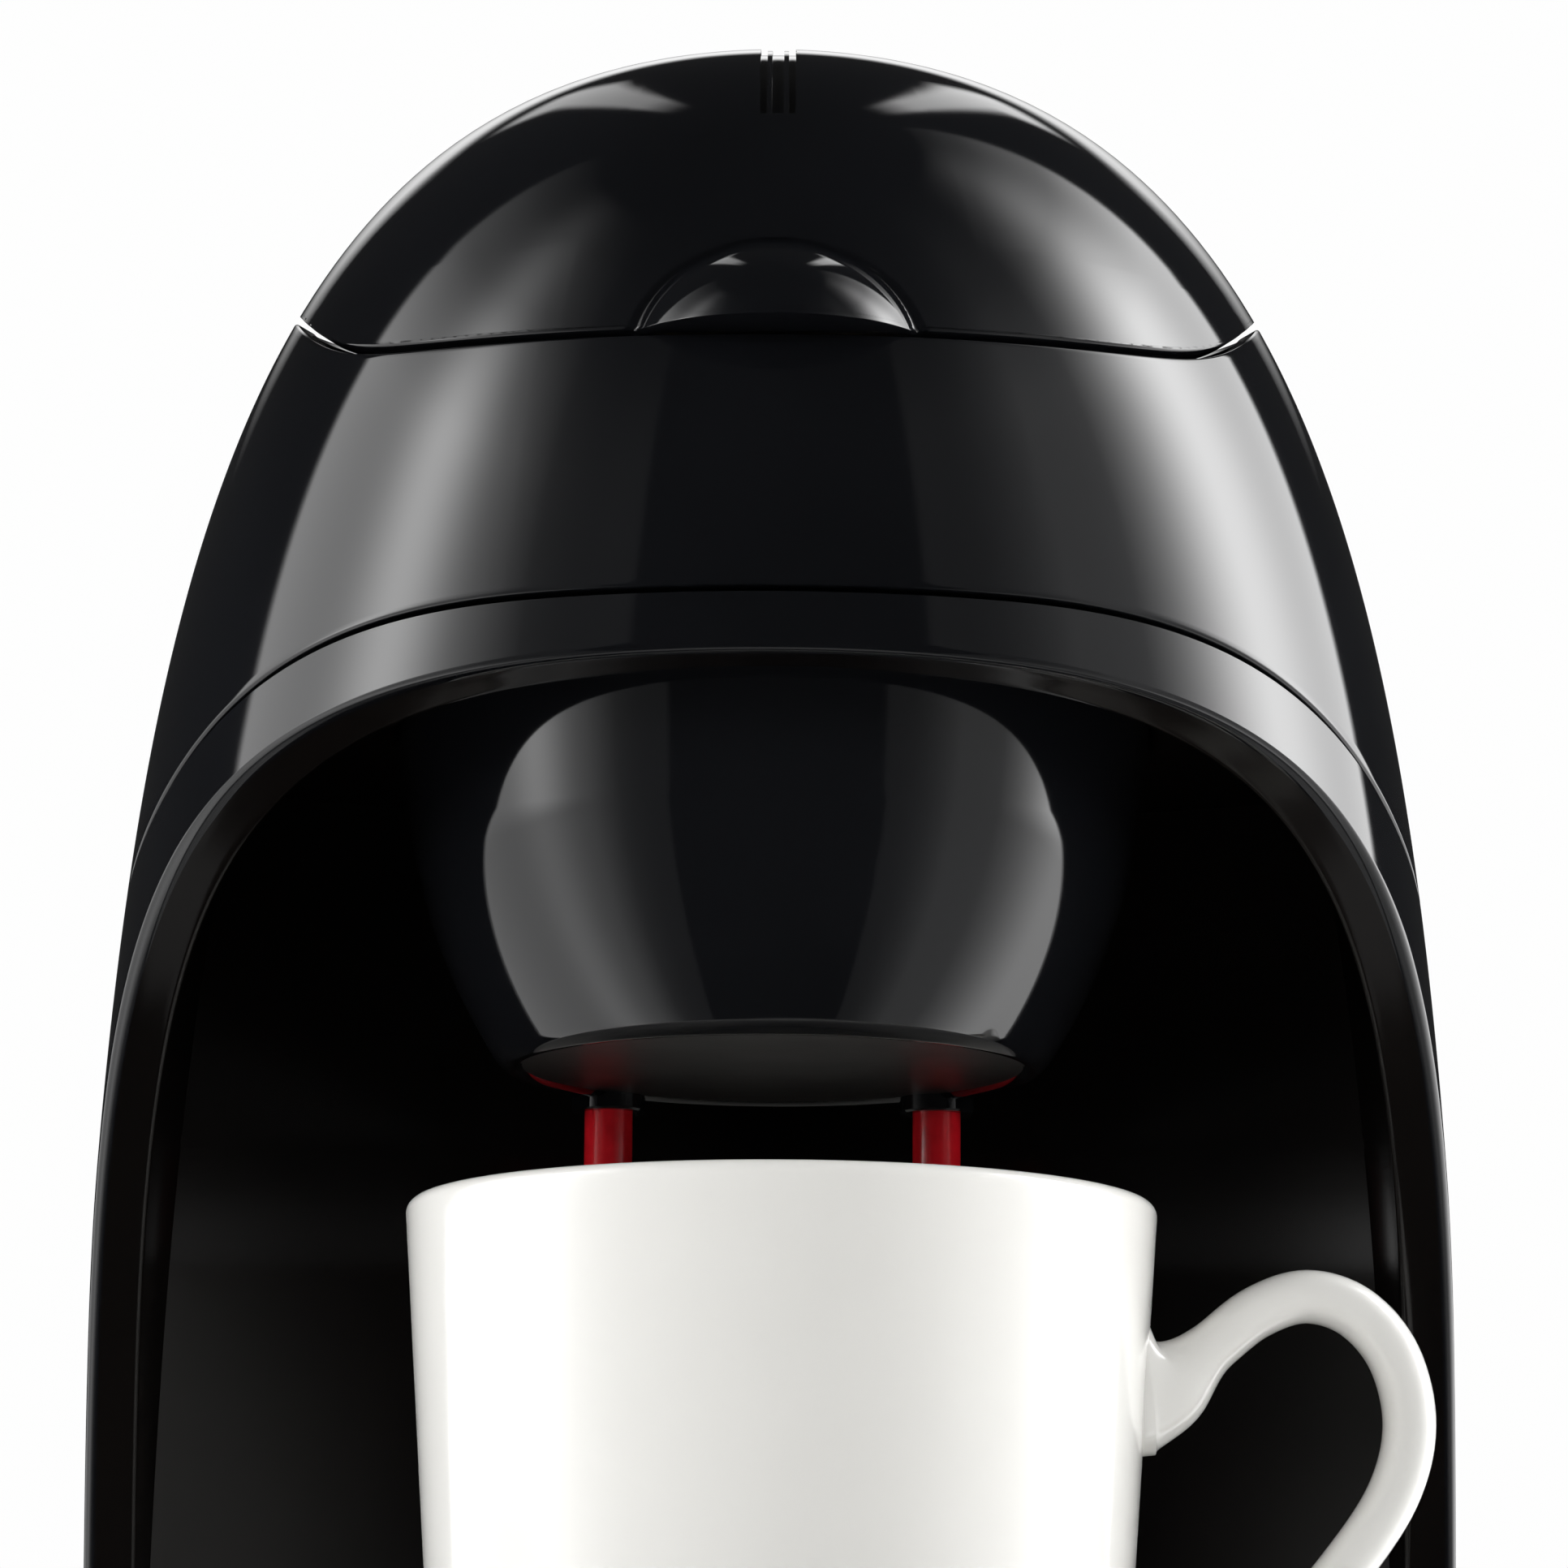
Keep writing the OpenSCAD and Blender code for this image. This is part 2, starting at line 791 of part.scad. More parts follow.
// Web that joins the lid's knuckle to its shell
module lid_knuckle_block() {
    hinge_bar(knuckle_r, -lid_knuckle / 2, lid_knuckle / 2);
    across([[hinge_y - 9, hinge_z + 1], [hinge_y - 9, hinge_z + 8], [hinge_y, hinge_z + 2.6],
            [hinge_y + 1.4, hinge_z - 0.4], [hinge_y - 1, hinge_z - 1.6]], lid_knuckle);
}

// Rounded lip at the front that a finger lifts
module lid_lip() {
    z = seam_front - lip_drop;
    translate([0, -outline_r(z) - lip_out + lip_r, z])
        sphere(r = lip_r);
}

// Groove over the crown, with steam holes through its floor
groove_w = 3.6;
groove_deep = 1.5;
groove_y0 = -42;
groove_y1 = -14;
groove_rib_x = 0.85;
groove_rib_w = 0.5;
module vent_groove() {
    difference() {
        translate([-groove_w / 2, groove_y0, 190])
            cube([groove_w, groove_y1 - groove_y0, 60]);
        form(groove_deep, 150);
        intersection() {
            form(0.35, 150);
            for (s = [-1, 1])
                translate([s * groove_rib_x - groove_rib_w / 2, groove_y0 - 1, 190])
                    cube([groove_rib_w, groove_y1 - groove_y0 + 2, 60]);
        }
    }
}

module vent_holes() {
    for (i = [0 : 3])
        translate([0, groove_y0 + 5 + i * 6, 190])
            cylinder(r = 0.5, h = 60);
}

// Posts under the lid's crown for the liner's screws
liner_post_x = 26;
liner_post_y = -4;
liner_low = 5;
liner_high = 7;
module liner_posts() {
    for (s = [-1, 1])
        difference() {
            intersection() {
                translate([s * liner_post_x, liner_post_y, seam_z(liner_post_y) + liner_high + 0.6])
                    cylinder(r = 3.5, h = 40);
                form(wall - 0.4, 150);
            }
            translate([s * liner_post_x, liner_post_y, seam_z(liner_post_y)])
                cylinder(r = 1.3, h = 17);
        }
}

module lid_liner() {
    color(soft_black)
        difference() {
            intersection() {
                form(wall + 0.3, 165);
                seam_slab(liner_low, liner_high);
                translate([-60, -60, 150])
                    cube([120, 60 + hinge_y - 10, 100]);
            }
            for (s = [-1, 1])
                translate([s * liner_post_x, liner_post_y, 150])
                    cylinder(r = 1.7, h = 100);
            translate([0, -brew_y, 150])
                cylinder(r = 6, h = 100);
        }
}

baffle_z = 189.5;
module steam_baffle() {
    color(soft_black)
        translate([0, -brew_y, baffle_z])
            difference() {
                union() {
                    cylinder(r = 13, h = 1.6);
                    difference() {
                        cylinder(r = 5.9, h = 10.5);
                        translate([0, 0, 1.6])
                            cylinder(r = 4.4, h = 12);
                    }
                }
                for (a = [0 : 60 : 300])
                    rotate([0, 0, a])
                        translate([9, 0, -1])
                            cylinder(r = 1, h = 5);
                translate([0, 0, -1])
                    cylinder(r = 1.5, h = 5);
            }
}

module liner_screws() {
    color("silver")
        for (s = [-1, 1])
            translate([s * liner_post_x, liner_post_y, 0])
                mirror([0, 0, 1])
                    screw(-seam_z(liner_post_y) - liner_low + 0.8, 1.25, 8, 2.6);
}

// ---- basket and filter ----

basket_wall = 2;
basket_top = deck_z + deck_t + 2;
spout_r = 2.55;
spout_back = 22.5;                   // distance of the spouts behind the brewing axis
collar_r = 3.9;
collar_z = basket_bottom - 1.2;
bowl_corner = [3.5, 25, 57, 3];      // radius, start and end angle, steps
bowl_flank = [60, 57, 78, 5];
function bowl_arc(centre, b, d) = [for (i = [0 : b[3]])
    let (a = b[1] + (b[2] - b[1]) * i / b[3])
    centre + (b[0] - d) * [sin(a), -cos(a)]];
// Outline of the bowl's side from its foot up, set in by d: a tight arc into a wide one
function basket_side(d) =
    let (low = [basket_foot_r, basket_bottom] - bowl_corner[0] * [sin(bowl_corner[1]), -cos(bowl_corner[1])],
         turn = (bowl_corner[0] - bowl_flank[0]) * [sin(bowl_flank[1]), -cos(bowl_flank[1])])
    concat(bowl_arc(low, bowl_corner, d), bowl_arc(low + turn, bowl_flank, d));

module filter_basket() {
    floor_z = basket_bottom + 2.2;
    color(black)
        translate([0, -brew_y, 0])
            difference() {
                union() {
                    rotate_extrude()
                        polygon(concat([[0, basket_bottom]], basket_side(0),
                            [[basket_r, bay_ceiling], [basket_r, basket_top - 2],
                             [basket_flange_r, basket_top - 2], [basket_flange_r, basket_top],
                             [0, basket_top]]));
                    at_spouts(collar_z)
                        cylinder(r = collar_r, h = 6);
                }
                rotate_extrude()
                    polygon(concat([[0, floor_z], [basket_foot_r - 4, floor_z]],
                        [for (p = basket_side(basket_wall)) if (p[1] > floor_z + 0.3) p],
                        [[basket_r - basket_wall, bay_ceiling], [basket_r - basket_wall, basket_top - 4],
                         [basket_r - 1, basket_top - 4], [basket_r - 1, basket_top + 1], [0, basket_top + 1]]));
                at_spouts(collar_z - 1)
                    cylinder(r = spout_r + 0.02, h = 3.4);
                at_spouts(collar_z)
                    cylinder(r = 1.5, h = 10);
            }
}

// Places a piece at both spouts, at height z
module at_spouts(z) {
    for (s = [-1, 1])
        translate([s * spout_pitch / 2, spout_back, z])
            children();
}

spout_end = 101.6;
module drip_spouts() {
    color([0.7, 0.03, 0.05])
        translate([0, -brew_y, 0])
            at_spouts(spout_end)
                difference() {
                    cylinder(r = spout_r, h = collar_z + 2.3 - spout_end);
                    translate([0, 0, -1])
                        cylinder(r = 1.5, h = 30);
                }
}

frame_top = basket_top - 0.6;
frame_ribs = 6;
mesh_top_r = 34;
mesh_foot_r = 20;
mesh_foot_z = 121;
module filter_rim() {
    color([0.25, 0.25, 0.26])
        translate([0, -brew_y, frame_top - 3.3])
            difference() {
                cylinder(r = basket_r - 1.3, h = 3.3);
                translate([0, 0, -1])
                    cylinder(r = mesh_top_r + 0.3, h = 10);
            }
}

module filter_ribs() {
    color([0.25, 0.25, 0.26])
        translate([0, -brew_y, 0]) {
            for (a = [0 : 360 / frame_ribs : 359])
                rotate([90, 0, a])
                    linear_extrude(1.6, center = true)
                        polygon([[mesh_top_r + 0.7, frame_top - 3], [mesh_top_r + 1.7, frame_top - 3],
                                 [mesh_foot_r + 1.6, mesh_foot_z - 1.8], [0.6, mesh_foot_z - 1.8],
                                 [0.6, mesh_foot_z - 0.4], [mesh_foot_r + 0.6, mesh_foot_z - 0.4]]);
            translate([0, 0, mesh_foot_z - 1.8])
                cylinder(r = 3, h = 1.4);
        }
}

module filter_mesh() {
    t = 0.5;
    color([0.75, 0.72, 0.6])
        translate([0, -brew_y, 0])
            rotate_extrude()
                polygon([[0, mesh_foot_z - t + 0.2], [mesh_foot_r, mesh_foot_z - t + 0.2],
                         [mesh_top_r, basket_top - 3.9], [mesh_top_r, frame_top],
                         [mesh_top_r - t, frame_top], [mesh_top_r - t, basket_top - 3.9],
                         [mesh_foot_r - t, mesh_foot_z + 0.2], [0, mesh_foot_z + 0.2]]);
}

// ---- mug ----

mug_z = base_h + 0.8;
mug_x = 1;
mug_wall = 3;
handle_sides = 12;
handle_route = [[33, 81], [40, 82], [44, 85.8], [48, 89.2], [52.8, 91], [57.8, 89.6], [61.8, 84.8], [63.6, 78],
    [61.8, 71], [56.6, 63.4], [49.6, 56], [42.3, 50.4], [34.5, 47]];
// Half height of the handle's section: thick at its upper root, slim round the loop
function handle_tall(s) = 2.6 + 3.6 * pow(max(1 - s * 6, 0), 1.5) + 1.6 * pow(max(s * 5 - 4, 0), 2);
function handle_wide(s) = 4.4 + 1.2 * pow(max(1 - s * 6, 0), 1.5);
module mug_handle() {
    path = bend_path([for (p = handle_route) [p[0], 0, p[1]]], 3);
    n = len(path);
    rings = [for (i = [0 : n - 1])
        let (d = path_dir(path, i), v = [-d[2], 0, d[0]], s = i / (n - 1))
        for (k = [0 : handle_sides - 1])
            let (a = 360 * k / handle_sides)
            path[i] + handle_tall(s) * cos(a) * v + [0, handle_wide(s) * sin(a), 0]];
    skin = [for (i = [0 : n - 2]) for (k = [0 : handle_sides - 1])
        [i * handle_sides + k, i * handle_sides + (k + 1) % handle_sides,
         (i + 1) * handle_sides + (k + 1) % handle_sides, (i + 1) * handle_sides + k]];
    polyhedron(points = rings,
        faces = concat(skin, [[for (k = [handle_sides - 1 : -1 : 0]) k]],
                       [[for (k = [0 : handle_sides - 1]) (n - 1) * handle_sides + k]]),
        convexity = 4);
}

module mug() {
    color([0.93, 0.92, 0.9])
        translate([mug_x, -brew_y, 0])
            difference() {
                union() {
                    translate([0, 0, mug_z])
                        cylinder(r1 = mug_foot_r, r2 = mug_r, h = mug_h);
                    mug_handle();
                }
                translate([0, 0, mug_z + 5])
                    cylinder(r1 = mug_foot_r - mug_wall + 0.3, r2 = mug_r - mug_wall + 0.6, h = mug_h - 4.9);
                translate([0, 0, mug_z - 1])
                    cylinder(r = mug_foot_r - 4, h = 2.2);
            }
}

hood();
tower();
top_deck();
deck_screws();
water_tank();
tank_grommet();
riser_tube();
water_spout();
hinge_pin();
base_shell();
base_plate();
base_screws();
rubber_feet();
cup_plate();
heater_block();
heating_element();
heater_bracket();
thermostat();
thermal_fuses();
check_valve();
cold_hose();
hot_hose();
terminal_block();
wiring();
cord_gland();
switch_case();
switch_bezel();
power_rocker();
pilot_lamp();
lid_shell();
lid_liner();
steam_baffle();
liner_screws();
filter_basket();
drip_spouts();
filter_rim();
filter_ribs();
filter_mesh();
mug();
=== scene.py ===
import math

import bmesh
import bpy
import numpy as np
from mathutils import Matrix, Vector


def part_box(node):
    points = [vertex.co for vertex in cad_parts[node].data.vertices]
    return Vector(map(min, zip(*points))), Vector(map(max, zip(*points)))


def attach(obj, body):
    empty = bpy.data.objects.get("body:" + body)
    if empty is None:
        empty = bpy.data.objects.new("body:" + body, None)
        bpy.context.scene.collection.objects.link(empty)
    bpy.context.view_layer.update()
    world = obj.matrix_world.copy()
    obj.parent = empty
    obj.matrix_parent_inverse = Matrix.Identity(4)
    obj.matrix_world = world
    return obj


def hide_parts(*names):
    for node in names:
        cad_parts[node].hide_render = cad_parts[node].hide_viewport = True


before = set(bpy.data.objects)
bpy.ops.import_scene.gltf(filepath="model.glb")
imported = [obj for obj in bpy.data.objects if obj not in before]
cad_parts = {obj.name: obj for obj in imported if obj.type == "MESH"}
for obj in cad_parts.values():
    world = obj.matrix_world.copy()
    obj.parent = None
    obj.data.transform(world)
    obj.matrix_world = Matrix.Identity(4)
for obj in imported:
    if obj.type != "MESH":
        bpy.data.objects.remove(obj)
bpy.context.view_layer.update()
MM = 0.001


def box_mm(node):
    """Lowest and highest corner of a CAD node, in millimetres."""
    low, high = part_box(node)
    return np.array(low) / MM, np.array(high) / MM


# ---------------------------------------------------------------- camera

CAMERA_AT = Vector((1.0, -620.0, 28.0)) * MM
CAMERA_AIM = Vector((1.0, 0.0, 146.0)) * MM
CAMERA_ROLL = math.radians(0.33)
CAMERA_LENS = 138.17


def make_camera():
    data = bpy.data.cameras.new("camera")
    data.lens = CAMERA_LENS
    data.sensor_width = 36.0
    data.clip_start = 0.01
    data.clip_end = 50.0
    camera = bpy.data.objects.new("camera", data)
    bpy.context.scene.collection.objects.link(camera)
    camera.location = CAMERA_AT
    aim = (CAMERA_AIM - CAMERA_AT).to_track_quat("-Z", "Y")
    camera.rotation_mode = "QUATERNION"
    camera.rotation_quaternion = aim @ Matrix.Rotation(CAMERA_ROLL, 3, "Z").to_quaternion()
    bpy.context.scene.camera = camera


make_camera()

# ---------------------------------------------------------------- the body's own form, in millimetres

CROWN = box_mm("lid_shell")[1][2]
BASE_TOP = box_mm("base_shell")[1][2]
TAIL = 120.0
RISE = 6.3
BULGE = 2.55
BASE_R = (box_mm("base_shell")[1][0] - box_mm("base_shell")[0][0]) / 2
BODY_R = BASE_R / (1 - ((BASE_TOP + TAIL) / (CROWN + TAIL)) ** RISE) ** (1 / BULGE)
WALL = 2.5
GAP = 0.7
LINER = 5.5


def outline(t, depth=0.0):
    """Radius and height of the outline at parameter t (0 to 90 degrees), set in by depth."""
    t = np.radians(np.asarray(t, float))
    c = np.maximum(np.cos(t), 0) ** (2 / BULGE)
    u = np.sin(t) ** (2 / RISE)
    gr = BULGE / BODY_R * np.maximum(c, 1e-9) ** (BULGE - 1)
    gz = RISE / (CROWN + TAIL) * u ** (RISE - 1)
    n = np.hypot(gr, gz)
    return np.maximum(BODY_R * c - depth * gr / n, 0), (CROWN + TAIL) * u - TAIL - depth * gz / n


def outline_t(z):
    level = np.clip((np.asarray(z, float) + TAIL) / (CROWN + TAIL), 0, 1)
    return np.degrees(np.arcsin(level ** (RISE / 2)))


TABLE_T = np.linspace(1, 90, 1781)


def radius_at(z, depth=0.0):
    """Radius of the form, set in by depth, at height z."""
    r, h = outline(TABLE_T, depth)
    return np.interp(z, h, r)


SEAM_FRONT = 179.0
SEAM_BENDS = ((-66, 4, 0.103), (-37.5, 6.8, 0.438), (-15, 12, -0.4216))


def seam_z(y):
    """Height of the lid's seam: each bend is a place, a softness and an added slope."""
    y = np.asarray(y, float)
    return SEAM_FRONT + sum(g * (y - c + np.sqrt((y - c) ** 2 + w * w)) / 2 for c, w, g in SEAM_BENDS)


ARCH_TOP = 146.7
BAND = 6.0
HEM_Y0 = -60.5
HEM_Y1 = 6.3
HEM_DROP = 23.6


def hem_z(y):
    t = np.clip((np.asarray(y, float) - HEM_Y0) / (HEM_Y1 - HEM_Y0), 0, 1)
    return ARCH_TOP + BAND - HEM_DROP * (1 - np.cos(np.pi * t)) / 2


def t_on_curve(theta, curve, shift, depth=0.0):
    """Outline parameter where the form meets the height curve(y) + shift, at each angle theta."""
    low = np.full(len(theta), 5.0)
    high = np.full(len(theta), 89.5)
    for _ in range(45):
        mid = (low + high) / 2
        r, z = outline(mid, depth)
        above = z > curve(-r * np.cos(theta)) + shift
        high = np.where(above, mid, high)
        low = np.where(above, low, mid)
    return (low + high) / 2


def place(theta, r, z):
    """Points from angle (0 at the front), radius and height, in metres."""
    return np.stack([r * np.sin(theta), -r * np.cos(theta), z], -1) * MM


# ---------------------------------------------------------------- mesh helpers

def grid_faces(rows, columns, close_columns=False, close_rows=False, flip=False):
    """Quads over a grid of points stored row by row."""
    i, j = np.meshgrid(np.arange(rows if close_rows else rows - 1),
                       np.arange(columns if close_columns else columns - 1), indexing="ij")
    i, j = i.ravel(), j.ravel()
    i2, j2 = (i + 1) % rows, (j + 1) % columns
    quads = np.stack([i * columns + j, i * columns + j2, i2 * columns + j2, i2 * columns + j], -1)
    return quads[:, ::-1] if flip else quads


class Build:
    """Collects patches of points and faces, then joins them into one smooth mesh."""

    def __init__(self):
        self.points = []
        self.faces = []
        self.zones = []
        self.zone = 0
        self.count = 0

    def add(self, points, faces):
        points = np.asarray(points, float).reshape(-1, 3)
        self.points.append(points)
        self.faces.extend((np.asarray(f) + self.count).tolist() for f in faces)
        self.zones.extend([self.zone] * len(faces))
        self.count += len(points)

    def grid(self, points, close_columns=False, close_rows=False, flip=False):
        """Points as an array of rows x columns x 3."""
        rows, columns = points.shape[:2]
        self.add(points, grid_faces(rows, columns, close_columns, close_rows, flip))

    def make(self, name, finishes, body, sharp=40, weld=0.02, outward=True):
        """finishes is one material, or one for each zone."""
        mesh = bpy.data.meshes.new(name)
        mesh.from_pydata(np.concatenate(self.points).tolist(), [], self.faces)
        mesh.polygons.foreach_set("material_index", self.zones)
        bm = bmesh.new()
        bm.from_mesh(mesh)
        bmesh.ops.remove_doubles(bm, verts=bm.verts, dist=weld * MM)
        bmesh.ops.dissolve_degenerate(bm, edges=bm.edges, dist=1e-6)
        if outward:
            bmesh.ops.recalc_face_normals(bm, faces=bm.faces)
        shade(bm, sharp)
        bm.to_mesh(mesh)
        bm.free()
        piece = bpy.data.objects.new(name, mesh)
        bpy.context.scene.collection.objects.link(piece)
        for finish in finishes if isinstance(finishes, tuple) else (finishes,):
            mesh.materials.append(finish)
        if body:
            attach(piece, body)
        return piece


def shade(bm, sharp):
    """Smooth shading, with edges sharper than the angle kept crisp."""
    for face in bm.faces:
        face.smooth = True
    limit = math.radians(sharp)
    for edge in bm.edges:
        edge.smooth = len(edge.link_faces) != 2 or edge.calc_face_angle(0) < limit


def lathe(build, profile, centre, segments, close=False):
    """Turns a list of (radius, height) round the vertical axis through centre."""
    a = np.linspace(0, 2 * np.pi, segments, endpoint=False)
    p = np.array(profile, float)
    points = np.stack([centre[0] + p[:, :1] * np.sin(a), centre[1] - p[:, :1] * np.cos(a),
                       np.repeat(p[:, 1:], segments, 1)], -1) * MM
    build.grid(points, close_columns=True, close_rows=close)


def arc(centre, radius, start, end, steps):
    """Points of an arc in the (radius, height) plane, angles in degrees from +radius."""
    a = np.radians(np.linspace(start, end, steps + 1))
    return [(centre[0] + radius * math.cos(v), centre[1] + radius * math.sin(v)) for v in a]


def replace(piece, *nodes):
    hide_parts(*nodes)
    return piece


# ---------------------------------------------------------------- materials

def link(tree, a, b):
    tree.links.new(a, b)


ROUGH_DRIFT = 0.3


def material(name, colour, rough, metallic=0.0, vary=0.15, grain=900.0, bump=0.02, coat=0.0,
             mottle=60.0, ior=1.5, transmission=0.0, subsurface=0.0):
    """A moulded or cast finish: colour and roughness drift slowly, and a fine grain lies on top."""
    m = bpy.data.materials.new(name)
    m.use_nodes = True
    tree = m.node_tree
    shader = tree.nodes["Principled BSDF"]
    where = tree.nodes.new("ShaderNodeTexCoord")
    slow = tree.nodes.new("ShaderNodeTexNoise")
    slow.inputs["Scale"].default_value = mottle
    slow.inputs["Detail"].default_value = 3
    fine = tree.nodes.new("ShaderNodeTexNoise")
    fine.inputs["Scale"].default_value = grain
    fine.inputs["Detail"].default_value = 2
    tint = tree.nodes.new("ShaderNodeValToRGB")
    tint.color_ramp.elements[0].position = 0.3
    tint.color_ramp.elements[1].position = 0.7
    tint.color_ramp.elements[0].color = (*[c * (1 - vary) for c in colour[:3]], 1)
    tint.color_ramp.elements[1].color = (*[min(c * (1 + vary), 1) for c in colour[:3]], 1)
    spread = tree.nodes.new("ShaderNodeMapRange")
    spread.inputs["To Min"].default_value = rough * (1 - ROUGH_DRIFT)
    spread.inputs["To Max"].default_value = min(rough * (1 + ROUGH_DRIFT), 1)
    lift = tree.nodes.new("ShaderNodeBump")
    lift.inputs["Strength"].default_value = bump
    lift.inputs["Distance"].default_value = 0.0002
    for noise in (slow, fine):
        link(tree, where.outputs["Object"], noise.inputs["Vector"])
    link(tree, slow.outputs["Fac"], tint.inputs["Fac"])
    link(tree, slow.outputs["Fac"], spread.inputs["Value"])
    link(tree, fine.outputs["Fac"], lift.inputs["Height"])
    link(tree, tint.outputs["Color"], shader.inputs["Base Color"])
    link(tree, spread.outputs["Result"], shader.inputs["Roughness"])
    link(tree, lift.outputs["Normal"], shader.inputs["Normal"])
    shader.inputs["Metallic"].default_value = metallic
    shader.inputs["IOR"].default_value = ior
    shader.inputs["Coat Weight"].default_value = coat
    shader.inputs["Transmission Weight"].default_value = transmission
    shader.inputs["Subsurface Weight"].default_value = subsurface
    shader.inputs["Subsurface Scale"].default_value = 0.004
    return m


GLOSS = material("gloss_black", (0.0045, 0.0048, 0.0058), 0.055, vary=0.2, grain=500, bump=0.004,
                 mottle=25)
BAY = material("bay_black", (0.0045, 0.0036, 0.0032), 0.16, vary=0.35, grain=900, bump=0.01,
               mottle=18, ior=1.32)
DISC = material("disc_black", (0.011, 0.0095, 0.0085), 0.42, vary=0.15, grain=1500, bump=0.08, ior=1.38)
SATIN = material("satin_black", (0.012, 0.012, 0.013), 0.34, vary=0.2, grain=1500, bump=0.12)
STEEL = material("zinc_steel", (0.62, 0.62, 0.63), 0.3, metallic=1.0, grain=700, bump=0.05)
TANK = material("smoke_tank", (0.05, 0.05, 0.055), 0.22, vary=0.2, grain=900, bump=0.03)
SILICONE = material("pale_silicone", (0.75, 0.75, 0.72), 0.45, grain=1100, bump=0.06, subsurface=0.3)
FOOT = material("foot_rubber", (0.012, 0.012, 0.012), 0.7, grain=1800, bump=0.3)
PLATE = material("plate_plastic", (0.02, 0.02, 0.021), 0.4, grain=1600, bump=0.2)
CAST = material("cast_aluminium", (0.7, 0.71, 0.73), 0.42, metallic=1.0, grain=600, bump=0.25)
ELEMENT = material("element_steel", (0.35, 0.34, 0.34), 0.35, metallic=1.0, vary=0.3, grain=400, bump=0.1)
CREAM = material("cream_phenolic", (0.8, 0.77, 0.68), 0.5, grain=900, bump=0.1)
SLEEVE = material("fuse_sleeve", (0.85, 0.84, 0.78), 0.75, grain=2500, bump=0.5)
NATURAL = material("natural_plastic", (0.8, 0.8, 0.76), 0.35, grain=900, bump=0.04, subsurface=0.2)
WIRE = material("wire_silicone", (0.5, 0.05, 0.04), 0.5, grain=1200, bump=0.1)
ROCKER = material("rocker_red", (0.55, 0.012, 0.01), 0.18, vary=0.1, bump=0.01, coat=0.3, subsurface=0.15)
LAMP = material("lamp_glass", (1.0, 0.45, 0.2), 0.08, vary=0.05, transmission=0.8)
SPOUT = material("spout_red", (0.78, 0.012, 0.022), 0.2, vary=0.2, grain=300, bump=0.03, mottle=250,
                 transmission=0.12, subsurface=0.1, ior=1.42)
FRAME_GREY = material("filter_grey", (0.05, 0.05, 0.053), 0.35, grain=1300, bump=0.1)
GLAZE = material("mug_glaze", (0.86, 0.85, 0.82), 0.12, vary=0.012, grain=160, bump=0.012,
                 mottle=30, coat=0.25)


def woven(name, colour, pitch):
    """Fine woven wire: two crossed waves drive a dark gap between wires."""
    m = material(name, colour, 0.35, metallic=1.0, grain=800, bump=0.05)
    tree = m.node_tree
    shader = tree.nodes["Principled BSDF"]
    where = [n for n in tree.nodes if n.type == "TEX_COORD"][0]
    waves = []
    for direction in ("X", "Z"):
        wave = tree.nodes.new("ShaderNodeTexWave")
        wave.bands_direction = direction
        wave.inputs["Scale"].default_value = 1 / (pitch * MM) / 3.2
        link(tree, where.outputs["Object"], wave.inputs["Vector"])
        waves.append(wave)
    both = tree.nodes.new("ShaderNodeMath")
    both.operation = "MULTIPLY"
    link(tree, waves[0].outputs["Fac"], both.inputs[0])
    link(tree, waves[1].outputs["Fac"], both.inputs[1])
    mix = tree.nodes.new("ShaderNodeMix")
    mix.data_type = "RGBA"
    mix.inputs["A"].default_value = (*colour, 1)
    mix.inputs["B"].default_value = (0.03, 0.025, 0.015, 1)
    link(tree, both.outputs["Value"], mix.inputs["Factor"])
    link(tree, mix.outputs["Result"], shader.inputs["Base Color"])
    return m


MESH_GOLD = woven("mesh_gold", (0.72, 0.6, 0.36), 0.6)

# ---------------------------------------------------------------- hood

def fan_angles(front_half, fine, coarse):
    """Angles round the body, closer together near the front."""
    near = np.radians(np.arange(-front_half, front_half, fine))
    far = np.radians(np.linspace(front_half, 360 - front_half, int((360 - 2 * front_half) / coarse)))[:-1]
    return np.concatenate([near, far])


EDGE_STEPS = 5


def edge_rows(rho, wall, low):
    """(distance from the edge, depth) from outer face to inner face, rounded at both corners."""
    a = np.radians(np.linspace(0, 90, EDGE_STEPS + 1))
    first = [(rho * (1 - math.sin(v)), rho * (1 - math.cos(v))) for v in a]
    last = [(rho * (1 - math.cos(v)), wall - rho * (1 - math.sin(v))) for v in a]
    rows = first + [(0, wall / 2)] + last
    return rows if low else rows[::-1]


def surface_speed(t):
    """Millimetres along the outline per degree of parameter."""
    r1, z1 = outline(t - 0.02)
    r2, z2 = outline(t + 0.02)
    return np.hypot(r2 - r1, z2 - z1) / 0.04


LIP_R = 17.0
LIP_Z = SEAM_FRONT - 5
LIP_Y = -radius_at(LIP_Z) - 4.6 + LIP_R


def ball_reach(theta, z, cy, cz, radius):
    """Farthest distance along direction theta at height z to a ball centred at (0, cy, cz)."""
    along = -cy * np.cos(theta)
    inside = radius ** 2 - (z - cz) ** 2 - cy ** 2 + along ** 2
    return np.where(inside > 0, along + np.sqrt(np.maximum(inside, 0)), -1e3)


PIN_BOX = box_mm("hinge_pin")
PIN_Y = (PIN_BOX[0][1] + PIN_BOX[1][1]) / 2
PIN_Z = (PIN_BOX[0][2] + PIN_BOX[1][2]) / 2
PIN_R = (PIN_BOX[1][2] - PIN_BOX[0][2]) / 2
# knuckles as in the CAD: radius, half length of the lid's, length of the hood's, gap between, eased edge
KNUCKLE_R = 3.2
KNUCKLE_HALF = 12.0
HOOD_KNUCKLE = 8.0
KNUCKLE_GAP = 0.3
EASE = 0.3


